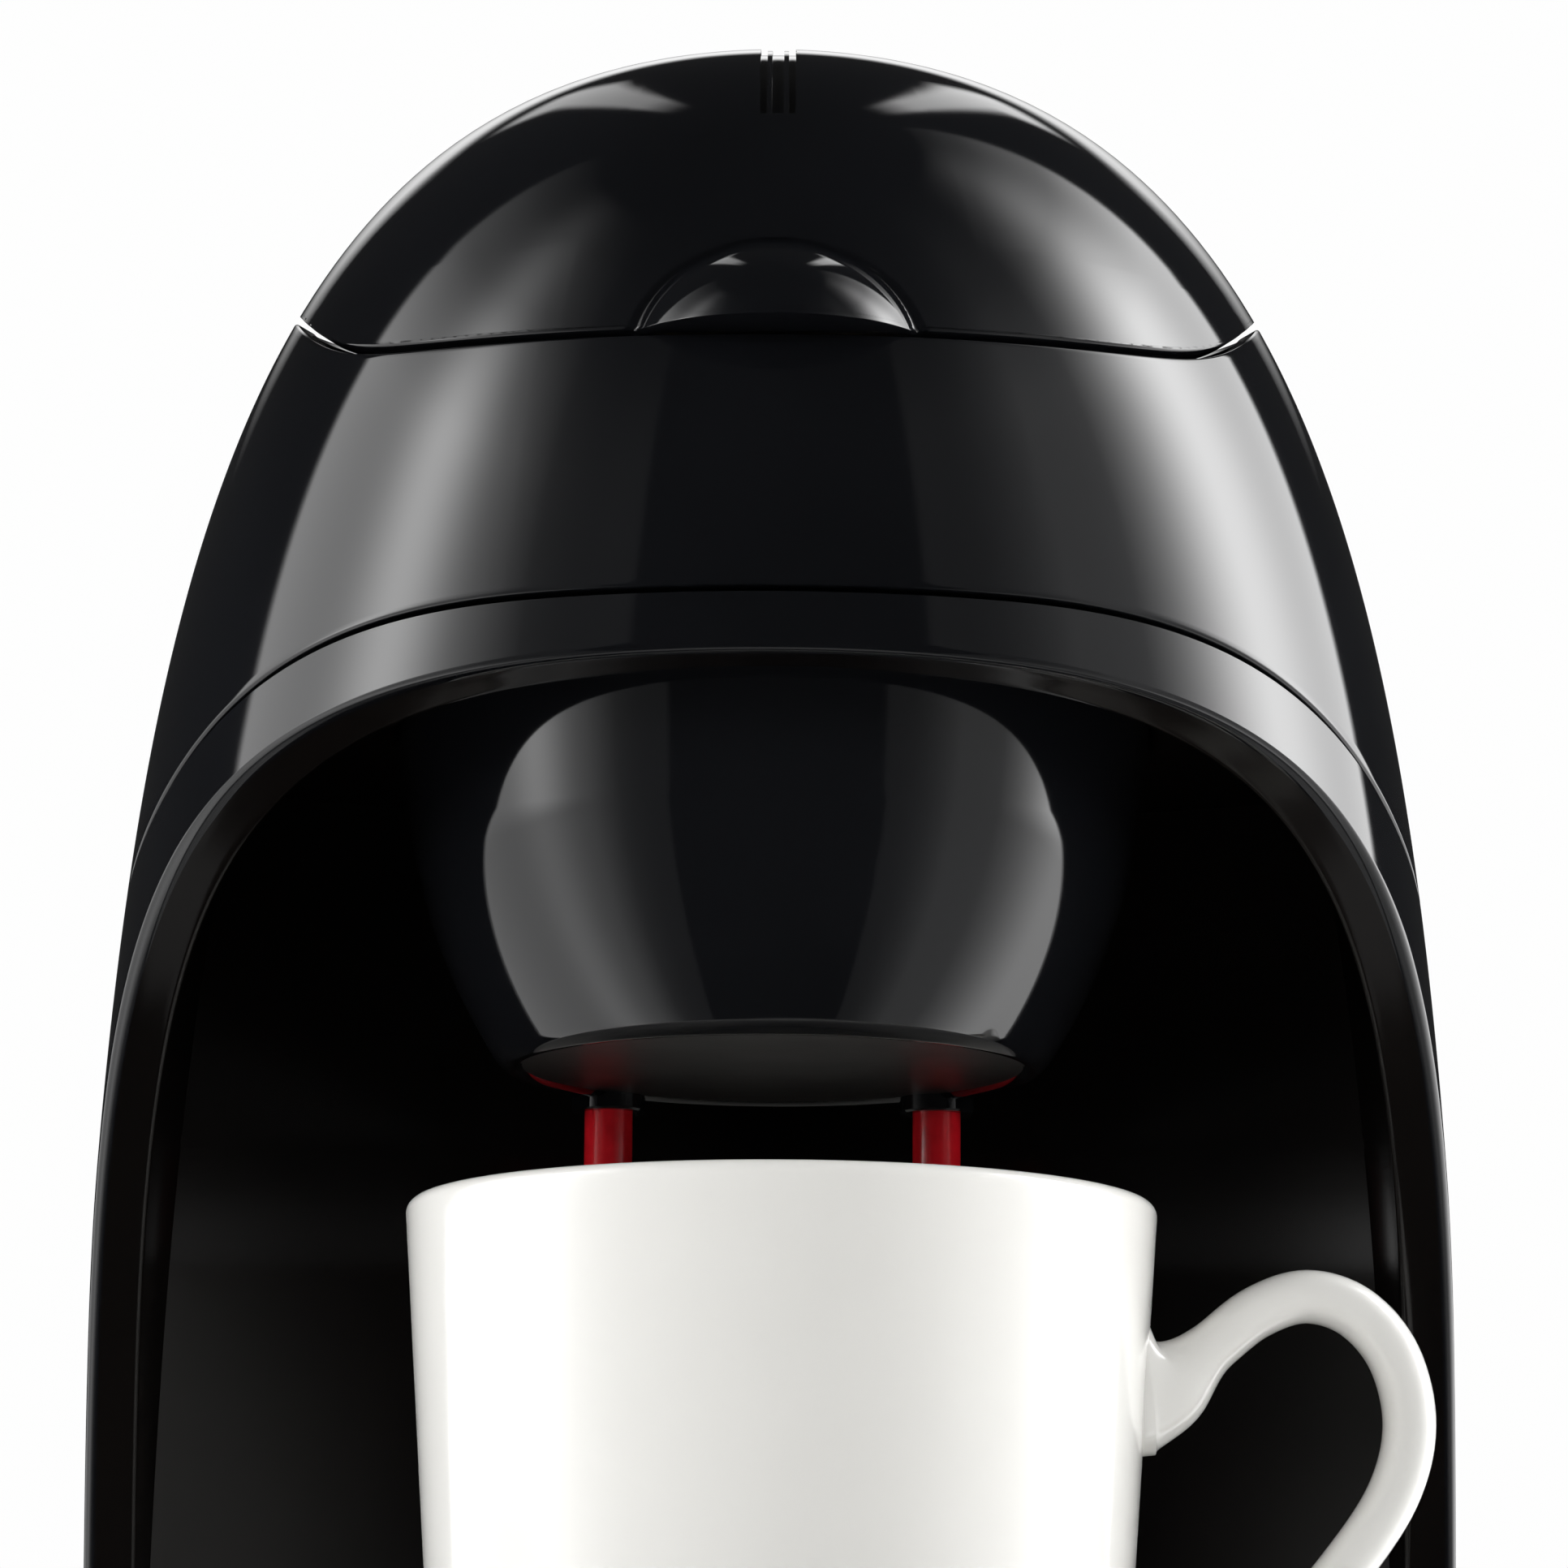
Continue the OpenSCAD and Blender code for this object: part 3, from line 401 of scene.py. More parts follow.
def knuckle(build, x0, x1):
    """Tube round the hinge pin, with eased ends."""
    a = np.linspace(0, 2 * np.pi, 48, endpoint=False)
    bore = PIN_R + 0.06
    rows = []
    for r, x in ((bore, x0), (KNUCKLE_R - EASE, x0), (KNUCKLE_R, x0 + EASE), (KNUCKLE_R, x1 - EASE),
                 (KNUCKLE_R - EASE, x1), (bore, x1)):
        rows.append(np.stack([np.full(len(a), x), PIN_Y + r * np.sin(a), PIN_Z + r * np.cos(a)], -1))
    build.grid(np.array(rows) * MM, close_columns=True, close_rows=True)


def web(build, profile, x0, x1):
    """Plate across the body: a side profile of (y from the pin, height), with eased ends."""
    p = np.array(profile, float) + np.array([PIN_Y, 0])
    away = p - p.mean(0)
    eased = p - away / np.linalg.norm(away, axis=1)[:, None] * EASE
    rings = []
    for x, ring in ((x0, eased), (x0 + EASE, p), (x1 - EASE, p), (x1, eased)):
        rings.append(np.column_stack([np.full(len(p), x), ring]))
    points = np.array(rings) * MM
    build.grid(points, close_columns=True)
    build.add(points[0], [list(range(len(p)))])
    build.add(points[-1], [list(range(len(p) - 1, -1, -1))])


def add_shells(piece, build):
    """Adds what build holds to a finished piece."""
    extra = build.make("extra", GLOSS, None)
    bm = bmesh.new()
    bm.from_mesh(piece.data)
    bm.from_mesh(extra.data)
    bm.to_mesh(piece.data)
    bm.free()
    bpy.data.objects.remove(extra)


def hood_hinge():
    """Knuckle at each end of the pin, each on an ear that stands on the hood."""
    build = Build()
    near = KNUCKLE_HALF + KNUCKLE_GAP
    neck = PIN_Z - PIN_R - 0.3
    ear = [(-4.5, 192), (-3.2, 199.6), (-2.7, neck), (2.8, neck), (6, 192), (7, 184), (3, 184)]
    for side in (-1, 1):
        ends = sorted((side * near, side * (near + HOOD_KNUCKLE)))
        knuckle(build, *ends)
        web(build, ear, *ends)
    return build


def lid_hinge():
    """Knuckle between the hood's two, on a web that reaches into the lid."""
    build = Build()
    knuckle(build, -KNUCKLE_HALF, KNUCKLE_HALF)
    r, h = outline(TABLE_T, 1.0)
    near = PIN_R + 0.3
    top = [(y, float(np.interp(PIN_Y + y, r[::-1], h[::-1]))) for y in (-9.0, -6.0, -4.0)]
    side = [(-9, PIN_Z + 1), *top, (-near, PIN_Z + 2.4), (-near, PIN_Z - 1.4)]
    web(build, side, -KNUCKLE_HALF, KNUCKLE_HALF)
    return build


def hood_piece():
    theta = fan_angles(24, 0.5, 1.25)
    low = t_on_curve(theta, hem_z, GAP / 2)
    high = t_on_curve(theta, seam_z, -GAP / 2)
    rows = []
    bottom = edge_rows(0.45, WALL, True)
    top = edge_rows(0.35, WALL, False)
    for s, d in bottom[::-1]:
        rows.append((low + s / surface_speed(low), d))
    for k in np.linspace(0, 1, 42)[1:-1]:
        rows.append((low + (high - low) * k, 0.0))
    for s, d in top[::-1]:
        rows.append((high - s / surface_speed(high), d))
    for k in np.linspace(1, 0, 14)[1:-1]:
        rows.append((low + (high - low) * k, WALL))
    points = []
    for t, d in rows:
        points.append(place(theta, *outline(t, d)))
    build = Build()
    build.grid(np.array(points), close_columns=True, close_rows=True)
    hood = build.make("hood_cover", GLOSS, "housing")
    add_shells(hood, hood_hinge())
    return replace(hood, "hood")


# ---------------------------------------------------------------- lid

LID_EDGE = 0.45
LID_FINE_TOP = 191.0
CREASE_WIDE = 1.3
CREASE_DEEP = 0.35


def lid_piece():
    theta = fan_angles(22, 0.3, 1.5)
    edge = t_on_curve(theta, seam_z, GAP / 2)
    top = outline_t(LID_FINE_TOP)
    rows = []
    for s, d in edge_rows(LID_EDGE, WALL, True)[::-1]:
        rows.append((edge + s / surface_speed(edge), d))
    for k in np.linspace(0, 1, 46)[1:]:
        rows.append((edge + (np.maximum(top, edge + 0.5) - edge) * k, 0.0))
    start = rows[-1][0]
    for k in np.linspace(0, 1, 34)[1:]:
        rows.append((start + (90 - start) * k, 0.0))
    for k in np.linspace(1, 0, 30)[1:-1]:
        rows.append((edge + (90 - edge) * k, WALL))
    points = []
    for t, d in rows:
        r, z = outline(t, d)
        share = np.clip(1 - (d - LID_EDGE) / (WALL - 2 * LID_EDGE), 0, 1)
        swell = ball_reach(theta, z, LIP_Y, LIP_Z, LIP_R) - r
        beside = (swell < 0) & (swell > -CREASE_WIDE)
        crease = np.where(beside, -CREASE_DEEP * np.sin(np.pi * -swell / CREASE_WIDE), 0)
        points.append(place(theta, r + share * np.where(swell > 0, swell, crease), z))
    build = Build()
    build.grid(np.array(points), close_columns=True, close_rows=True)
    lid = build.make("lid_cover", GLOSS, None, weld=0.01)
    cut_vent(lid)
    add_shells(lid, lid_hinge())
    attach(lid, "lid")
    return replace(lid, "lid_shell")


def cut_away(target, cutter):
    modifier = target.modifiers.new("cut", "BOOLEAN")
    modifier.operation = "DIFFERENCE"
    modifier.solver = "EXACT"
    modifier.object = cutter
    apply_modifiers(target)
    bpy.data.objects.remove(cutter)


def apply_modifiers(piece, sharp=40):
    graph = bpy.context.evaluated_depsgraph_get()
    graph.update()
    made = bpy.data.meshes.new_from_object(piece.evaluated_get(graph))
    piece.modifiers.clear()
    piece.data = made
    bm = bmesh.new()
    bm.from_mesh(made)
    shade(bm, sharp)
    bm.to_mesh(made)
    bm.free()


VENT_HALF = 1.8
VENT_Y0 = -42.0
VENT_Y1 = -14.0
VENT_DEEP = 1.5
VENT_FADE_Y = -30.0
VENT_END_SHARE = 0.12
VENT_BEVEL = 0.28
RIB_X = 0.85
RIB_HALF = 0.25
RIB_DROP = 0.35


def cut_vent(lid):
    """Groove over the crown that grows shallow towards the back, with two ribs left along it."""
    build = Build()
    near, far = RIB_X - RIB_HALF, RIB_X + RIB_HALF
    edges = (-VENT_HALF, -far, -near, near, far, VENT_HALF)
    drops = (VENT_DEEP, RIB_DROP, VENT_DEEP, RIB_DROP, VENT_DEEP)
    ys = np.linspace(VENT_Y0, VENT_Y1, 29)
    r, h = outline(TABLE_T)
    height = np.interp(-ys, r[::-1], h[::-1])
    floor_x = [x for k in range(5) for x in (edges[k], edges[k + 1])]
    floor_drop = [d for d in drops for _ in (0, 1)]
    section = [(x, -d) for x, d in zip(floor_x, floor_drop)]
    n = len(section)
    rows = []
    share = np.interp(ys, (VENT_FADE_Y, VENT_Y1), (1.0, VENT_END_SHARE))
    for y, top, k in zip(ys, height, share):
        low = [(x, y, top + d * k) for x, d in section]
        rows.append(low + [(VENT_HALF, y, CROWN + 8), (-VENT_HALF, y, CROWN + 8)])
    points = np.array(rows) * MM
    build.grid(points, close_columns=True)
    build.add(points[0], [list(range(n + 2))])
    build.add(points[-1], [list(range(n + 1, -1, -1))])
    cutter = build.make("vent_cutter", GLOSS, None, weld=0.001)
    cut_away(lid, cutter)
    bevel = lid.modifiers.new("vent_edge", "BEVEL")
    bevel.width = VENT_BEVEL * MM
    bevel.segments = 2
    bevel.limit_method = "ANGLE"
    bevel.angle_limit = math.radians(50)
    apply_modifiers(lid)


# ---------------------------------------------------------------- tower: band, arch, bay

SWEEP = 78.0
ARCH_POWER = 2.15
ARCH_FOOT = BASE_TOP + GAP / 2
ARCH_Y = -BODY_R + 0.5
BAY_DEPTH = 30.0
BAY_EDGE = ARCH_Y + SWEEP
BAY_HALF = BODY_R - 1.5
BAY_SAG = BAY_DEPTH - BAY_EDGE
BAY_R = (BAY_HALF ** 2 + BAY_SAG ** 2) / (2 * BAY_SAG)
BAY_C = BAY_DEPTH - BAY_R
CEILING = ARCH_TOP + 0.7


def arch_curve(samples, depth):
    """Angles and heights of the arch's edge on the form set in by depth, evenly spaced."""
    a = np.radians(np.linspace(0, 90, 6001))
    y = ARCH_Y + SWEEP * np.sin(a) ** (2 / ARCH_POWER)
    z = ARCH_FOOT + (ARCH_TOP - ARCH_FOOT) * np.maximum(np.cos(a), 0) ** (2 / ARCH_POWER)
    r = radius_at(z, depth)
    keep = r > -y
    y, z, r = y[keep], z[keep], r[keep]
    x = np.sqrt(np.maximum(r * r - y * y, 0))
    x[0] = 0
    length = np.concatenate([[0], np.cumsum(np.sqrt(np.diff(x) ** 2 + np.diff(y) ** 2 + np.diff(z) ** 2))])
    at = np.linspace(0, length[-1], samples)
    x, y, z = (np.interp(at, length, v) for v in (x, y, z))
    return np.arctan2(x, -y), z


ARCH_SAMPLES = 150
RIM = 1.3
INNER_RIM = 0.8


def on_form(theta, z, depth):
    """Points of the form set in by depth, at angle and height."""
    return place(theta, radius_at(z, depth), z)


def skin_patch(inner, outer, rows, depth, power=1.5):
    """Ruled patch in (angle, height) between two curves, denser near the first."""
    k = np.linspace(0, 1, rows)[:, None] ** power
    theta = inner[0] + (outer[0] - inner[0]) * k
    z = inner[1] + (outer[1] - inner[1]) * k
    return on_form(theta, z, depth)


def direction(start, end):
    """Unit direction over the surface between two curves of (angle, height)."""
    away = np.stack([(end[0] - start[0]) * radius_at(start[1]), end[1] - start[1]])
    return away / np.maximum(np.hypot(*away), 1e-6)


def moved(curve, distance, away):
    """The curve of (angle, height), moved over the surface."""
    return curve[0] + distance * away[0] / radius_at(curve[1]), curve[1] + distance * away[1]


def tower_piece():
    n = ARCH_SAMPLES
    side = math.radians(100)
    edge = arch_curve(n, 0)
    corner = int(np.argmin(abs(edge[0] - math.radians(74))))
    # outer boundary: along the hem to the side line, then down it to the foot
    angles = np.concatenate([edge[0][:corner] / edge[0][corner] * side, np.full(n - corner, side)])
    hem_t = t_on_curve(angles[:corner + 1], hem_z, -GAP / 2)
    hem_h = outline(hem_t)[1]
    down = np.linspace(hem_h[-1], ARCH_FOOT, n - corner)
    heights = np.concatenate([hem_h[:corner], down])
    outer = (angles, heights)
    build = Build()
    for mirror in (1, -1):
        flip = mirror < 0

        def put(points):
            build.grid(points * np.array([mirror, 1, 1]), flip=flip)

        # rounded rim of the arch: starts on the outer skin, turns over the edge, ends on the inner skin
        away = direction(edge, outer)
        rows = []
        for v in np.radians(np.linspace(0, 90, 8)):
            s = RIM * (1 - math.sin(v))
            depth = RIM * (1 - math.cos(v))
            curve = arch_curve(n, depth)
            rows.append(on_form(*moved(curve, s, away), depth))
        put(np.array(rows))
        rows = rows[-1:]
        build.zone = 1
        shifted = moved(edge, RIM, away)
        for depth in (2.2, 3.2, 4.2):
            curve = arch_curve(n, depth)
            rows.append(on_form(*curve, depth))
        inner_edge = arch_curve(n, LINER)
        rho = INNER_RIM
        ceiling_corner = int(np.argmin(abs(inner_edge[0] - math.radians(72))))
        back = inner_boundary(n, ceiling_corner, inner_edge)
        away_in = direction(inner_edge, back)
        for v in np.radians(np.linspace(0, 90, 5)):
            s = rho * (1 - math.cos(v))
            depth = LINER - rho * (1 - math.sin(v))
            curve = arch_curve(n, depth)
            rows.append(on_form(*moved(curve, s, away_in), depth))
        put(np.array(rows))
        inner_start = moved(inner_edge, rho, away_in)
        put(skin_patch(inner_start, back, 18, LINER, 1.2))
        build.zone = 0
        put(skin_patch(shifted, outer, 34, 0.0))
        # rear half of the skin
        back_angles = np.linspace(side, math.pi, 60)
        top = outline(t_on_curve(back_angles, hem_z, -GAP / 2))[1]
        share = (down - ARCH_FOOT) / (down[0] - ARCH_FOOT)
        z = ARCH_FOOT + share[:, None] * (top - ARCH_FOOT)[None, :]
        put(on_form(np.broadcast_to(back_angles, z.shape), z, 0.0))
        # upper rim under the hood
        rim_angles = np.concatenate([angles[:corner + 1], back_angles[1:]])
        rim_t = t_on_curve(rim_angles, hem_z, -GAP / 2)
        rim_rows = []
        for s, d in edge_rows(0.45, WALL, False)[::-1]:
            r, z = outline(rim_t - (s - 0.45 * (d == 0)) / surface_speed(rim_t), d)
            rim_rows.append(place(rim_angles, r, z))
        put(np.array(rim_rows))
    build.zone = 1
    bay_wall(build)
    bay_ceiling(build)
    tower = build.make("tower_shell", (GLOSS, BAY), "housing", sharp=50, weld=0.03, outward=False)
    return replace(tower, "tower")


def wall_meeting(z):
    """Angle round the body where the bay's back wall meets the inner side, at height z."""
    ri = radius_at(z, LINER)
    y = (ri ** 2 - BAY_R ** 2 + BAY_C ** 2) / (2 * BAY_C)
    return np.arccos(np.clip(-y / ri, -1, 1))


def inner_boundary(n, corner, edge):
    """Along the ceiling, then down the bay's back corner to the foot."""
    far = wall_meeting(np.array([CEILING]))[0]
    angles = edge[0][:corner] / edge[0][corner] * far
    z = np.linspace(CEILING, ARCH_FOOT, n - corner)
    return np.concatenate([angles, wall_meeting(z)]), np.concatenate([np.full(corner, CEILING), z])


def bay_wall(build):
    z = np.linspace(ARCH_FOOT, CEILING, 60)
    theta = wall_meeting(z)
    x = radius_at(z, LINER) * np.sin(theta)
    reach = np.arcsin(x / BAY_R)
    a = reach[:, None] * np.linspace(-1, 1, 80)[None, :]
    level = np.broadcast_to(z[:, None], a.shape)
    points = np.stack([BAY_R * np.sin(a), BAY_C + BAY_R * np.cos(a), level], -1)
    build.grid(points * MM, flip=True)


BREW_Y = -14.0
CEILING_HOLE = 38.9


def bay_ceiling(build):
    """Flat ceiling round the basket's opening."""
    a = np.linspace(0, 2 * np.pi, 180, endpoint=False)
    dx, dy = np.sin(a), -np.cos(a)
    ri = radius_at(CEILING, LINER)
    low, high = np.full(len(a), 5.0), np.full(len(a), 120.0)
    for _ in range(40):
        mid = (low + high) / 2
        x, y = mid * dx, BREW_Y + mid * dy
        out = (np.hypot(x, y) > ri) | (np.hypot(x, y - BAY_C) > BAY_R)
        high = np.where(out, mid, high)
        low = np.where(out, low, mid)
    rows = []
    for drop, radius in ((3.0, CEILING_HOLE), (0.5, CEILING_HOLE), (0.0, CEILING_HOLE + 0.5)):
        rows.append(np.stack([radius * dx, BREW_Y + radius * dy, np.full(len(a), CEILING + drop)], -1))
    for k in np.linspace(0, 1, 8)[1:]:
        d = CEILING_HOLE + 0.5 + (low - CEILING_HOLE - 0.5) * k
        rows.append(np.stack([d * dx, BREW_Y + d * dy, np.full(len(a), CEILING)], -1))
    build.grid(np.array(rows) * MM, close_columns=True)


# ---------------------------------------------------------------- basket and spouts

BASKET_R = 38.5
BASKET_WALL = 2.0
FOOT_R = 26.8
BOWL_CORNER = (3.5, 25, 57, 8)
BOWL_FLANK = (60.0, 57, 78, 14)
SPOUT_BACK = 22.5
COLLAR_R = 3.9
COLLAR_DROP = 1.2
BEAD = 0.5
DISC_R = FOOT_R - 1.35


def bowl_arc(centre, radius, start, end, steps):
    a = np.radians(np.linspace(start, end, steps + 1))
    return [(centre[0] + radius * math.sin(v), centre[1] - radius * math.cos(v)) for v in a]


def bowl_side(bottom, inset):
    """Side of the bowl from its foot up, set in by inset: a tight corner into a wide flank."""
    r1, a0, a1, n1 = BOWL_CORNER
    r2, b0, b1, n2 = BOWL_FLANK
    low = (FOOT_R - r1 * math.sin(math.radians(a0)), bottom + r1 * math.cos(math.radians(a0)))
    shift = r1 - r2
    turn = math.radians(b0)
    high = (low[0] + shift * math.sin(turn), low[1] - shift * math.cos(turn))
    return bowl_arc(low, r1 - inset, a0, a1, n1) + bowl_arc(high, r2 - inset, b0, b1, n2)[1:]


def basket_piece():
    low, high = box_mm("filter_basket")
    bottom = low[2] + COLLAR_DROP
    flange_r = (high[0] - low[0]) / 2
    top = high[2]
    side = bowl_side(bottom, 0)
    upper = [(side[-1][0] + (BASKET_R - side[-1][0]) * k, side[-1][1] + (CEILING - side[-1][1]) * k)
             for k in np.linspace(0, 1, 12)[1:]]
    disc = bottom + BEAD
    outer = [(DISC_R, disc), (FOOT_R - 0.85, bottom + 0.1), (FOOT_R - 0.6, bottom),
             (FOOT_R - 0.25, bottom), *side, *upper, (BASKET_R, top - 2.2), (BASKET_R + 0.3, top - 2),
             (flange_r - 0.3, top - 2), (flange_r, top - 1.7), (flange_r, top - 0.4),
             (flange_r - 0.4, top), (BASKET_R - 0.7, top), (BASKET_R - 1, top - 0.3)]
    inner_side = [p for p in bowl_side(bottom, BASKET_WALL)[::-1] if p[1] > bottom + 2.5]
    inner = [(BASKET_R - 1, top - 4), (BASKET_R - BASKET_WALL, top - 4.3), (BASKET_R - BASKET_WALL, CEILING),
             *inner_side, (FOOT_R - 4, bottom + 2.2), (0.01, bottom + 2.2)]
    build = Build()
    lathe(build, outer + inner, (0, BREW_Y), 200)
    build.zone = 1
    lathe(build, [(0.01, disc), (FOOT_R * 0.5, disc), (DISC_R, disc)], (0, BREW_Y), 200)
    build.zone = 0
    foot = box_mm("drip_spouts")
    reach = foot[1][0] - (foot[1][1] - foot[0][1]) / 2
    collar = [(2.58, low[2] + 2), (2.58, low[2] + 0.12), (2.75, low[2]), (COLLAR_R - 0.2, low[2]),
              (COLLAR_R, low[2] + 0.2), (COLLAR_R, bottom + 4.5)]
    for s in (-1, 1):
        lathe(build, collar, (s * reach, BREW_Y + SPOUT_BACK), 48)
    basket = build.make("basket_bowl", (GLOSS, DISC), "basket", sharp=28)
    return replace(basket, "filter_basket")


def spout_pieces():
    low, high = box_mm("drip_spouts")
    radius = (high[1] - low[1]) / 2
    tube = [(1.5, high[2]), (radius - 0.02, high[2]), (radius - 0.02, low[2] + 0.35),
            *arc((radius - 0.37, low[2] + 0.35), 0.35, 0, -90, 4), (1.7, low[2]), (1.5, low[2] + 0.25)]
    build = Build()
    for s in (-1, 1):
        lathe(build, tube, (s * (high[0] - radius), BREW_Y + SPOUT_BACK), 48, close=True)
    spouts = build.make("red_spouts", SPOUT, "basket")
    return replace(spouts, "drip_spouts")


# ---------------------------------------------------------------- mug

MUG_X = 1.0
MUG_FOOT_R = 33.0
MUG_LIP = 1.35


def mug_piece():
    low, high = box_mm("mug")
    z0, z1 = low[2], high[2]
    rim_r = (high[1] - low[1]) / 2
    foot_r = MUG_FOOT_R
    slope = (rim_r - foot_r) / (z1 - z0)

    def wall_r(z):
        return foot_r + (z - z0) * slope

    lip = MUG_LIP
    outer = [(0.01, z0 + 1.2), (foot_r - 4.4, z0 + 1.2), (foot_r - 4, z0 + 0.9), (foot_r - 3.8, z0 + 0.25),
             (foot_r - 3.3, z0), (foot_r - 1.6, z0), *arc((foot_r - 1.5, z0 + 1.6), 1.6, -80, 0, 6)]
    outer += [(wall_r(z), z) for z in np.linspace(z0 + 2.2, z1 - lip, 40)]
    rim = arc((rim_r - lip - 0.08, z1 - lip), lip, 0, 180, 14)[1:-1]
    inner = [(wall_r(z) - 2.75 - 0.5 * (z1 - z) / (z1 - z0), z) for z in np.linspace(z1 - lip, z0 + 11, 24)]
    inner += arc((inner[-1][0] - 6, z0 + 11), 6, 0, -90, 8)[1:]
    inner += [(12, z0 + 4.9), (0.01, z0 + 5)]
    build = Build()
    lathe(build, outer + rim + inner, (MUG_X, BREW_Y), 220)
    handle(build, wall_r)
    mug = build.make("mug_body", GLAZE, "mug", sharp=60)
    return replace(mug, "mug")


HANDLE = [(36.6, 81.9), (39.6, 82.6), (43.6, 86.0), (48, 89.4), (53.0, 91.0), (58.0, 89.4), (61.8, 84.8),
          (63.2, 78), (61.4, 71), (56.4, 63.6), (49.6, 56), (43.0, 51.2), (36.2, 48.6), (34.9, 48.2)]


def spline(points, steps):
    """Catmull-Rom curve through the points."""
    p = np.array(points, float)
    out = []
    for i in range(len(p) - 1):
        a, b, c, d = p[max(i - 1, 0)], p[i], p[i + 1], p[min(i + 2, len(p) - 1)]
        for k in range(steps):
            t = k / steps
            out.append(0.5 * (2 * b + (c - a) * t + (2 * a - 5 * b + 4 * c - d) * t * t
                              + (3 * b - a - 3 * c + d) * t ** 3))
    out.append(p[-1])
    return np.array(out)


def handle(build, wall_r):
    """Oval strap that flares into the wall at both ends, its end rings laid on the mug's side."""
    path = spline(HANDLE, 8)
    n = len(path)
    length = np.concatenate([[0], np.cumsum(np.hypot(*np.diff(path, axis=0).T))])
    along = np.gradient(path, axis=0)
    along /= np.linalg.norm(along, axis=1)[:, None]
    a = np.linspace(0, 2 * np.pi, 40, endpoint=False)
    rings = []
    for i in range(n):
        from_start, from_end = length[i], length[-1] - length[i]
        flare = max(0, 1 - from_start / 9) ** 2
        tail = max(0, 1 - from_end / 11) ** 2
        tall = 2.65 + 4.6 * flare + 2.4 * tail
        wide = 4.2 + 2.0 * flare + 1.6 * tail
        across = np.array([-along[i][1], along[i][0]])
        offset = tall * np.sign(np.cos(a)) * abs(np.cos(a)) ** 0.85
        x = path[i][0] + offset * across[0]
        z = path[i][1] + offset * across[1]
        y = wide * np.sign(np.sin(a)) * abs(np.sin(a)) ** 0.85
        side = np.sqrt(np.maximum(wall_r(z) ** 2 - y ** 2, 0)) - 0.25
        if from_start < 5 or from_end < 5:
            x = np.maximum(x, side)
        if i in (0, n - 1):
            x = side - 0.4
        rings.append(np.stack([MUG_X + x, BREW_Y + y, z], -1))
    build.grid(np.array(rings) * MM, close_columns=True)


# ---------------------------------------------------------------- carried-over CAD nodes

FINISH = {
    "top_deck": SATIN, "deck_screws": STEEL, "water_tank": TANK, "tank_grommet": SILICONE,
    "riser_tube": SILICONE, "water_spout": SATIN, "hinge_pin": STEEL, "base_shell": GLOSS,
    "base_plate": SATIN, "base_screws": STEEL, "rubber_feet": FOOT, "cup_plate": PLATE,
    "heater_block": CAST, "heating_element": ELEMENT, "heater_bracket": STEEL, "thermostat": CREAM,
    "thermal_fuses": SLEEVE, "check_valve": NATURAL, "cold_hose": SILICONE, "hot_hose": SILICONE,
    "terminal_block": CREAM, "wiring": WIRE, "cord_gland": SATIN, "switch_case": SATIN,
    "switch_bezel": SATIN, "power_rocker": ROCKER, "pilot_lamp": LAMP, "lid_liner": SATIN,
    "steam_baffle": SATIN, "liner_screws": STEEL, "filter_rim": FRAME_GREY, "filter_ribs": FRAME_GREY,
    "filter_mesh": MESH_GOLD,
}
BEVELLED = {"top_deck": 0.4, "base_shell": 0.7, "cup_plate": 0.3, "rubber_feet": 0.5, "switch_bezel": 0.35,
            "power_rocker": 0.35, "lid_liner": 0.4, "steam_baffle": 0.25, "filter_rim": 0.25,
            "water_tank": 0.5}


def dress_nodes():
    for name, finish in FINISH.items():
        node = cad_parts[name]
        node.data.materials.clear()
        node.data.materials.append(finish)
        weld = node.modifiers.new("weld", "WELD")
        weld.merge_threshold = 0.00001
        if name in BEVELLED:
            bevel = node.modifiers.new("bevel", "BEVEL")
            bevel.width = BEVELLED[name] * MM
            bevel.segments = 3
            bevel.limit_method = "ANGLE"
            bevel.angle_limit = math.radians(35)
            bevel.harden_normals = True


# ---------------------------------------------------------------- studio

def ramp(value, start, end):
    """0 before start, 1 past end, linear between."""
    return float(np.clip((value - start) / (end - start), 0, 1))


# soft panel on each side: where it starts and ends, where its bright bar peaks, the bar's width, the level
# its outer part climbs to, the bar's own strength, the strip behind the lid, and how far up it fades
LEFT_PANEL = (26, 111, 76, 10, 1.7, 4.5, 1.3, -3.5)
RIGHT_PANEL = (28, 131, 101, 14.0, 3.0, 6.0, 2.2, 1.0)
# how far both ends of a panel move outward for directions below the horizon
LOW_START = 6
LOW_END = 32


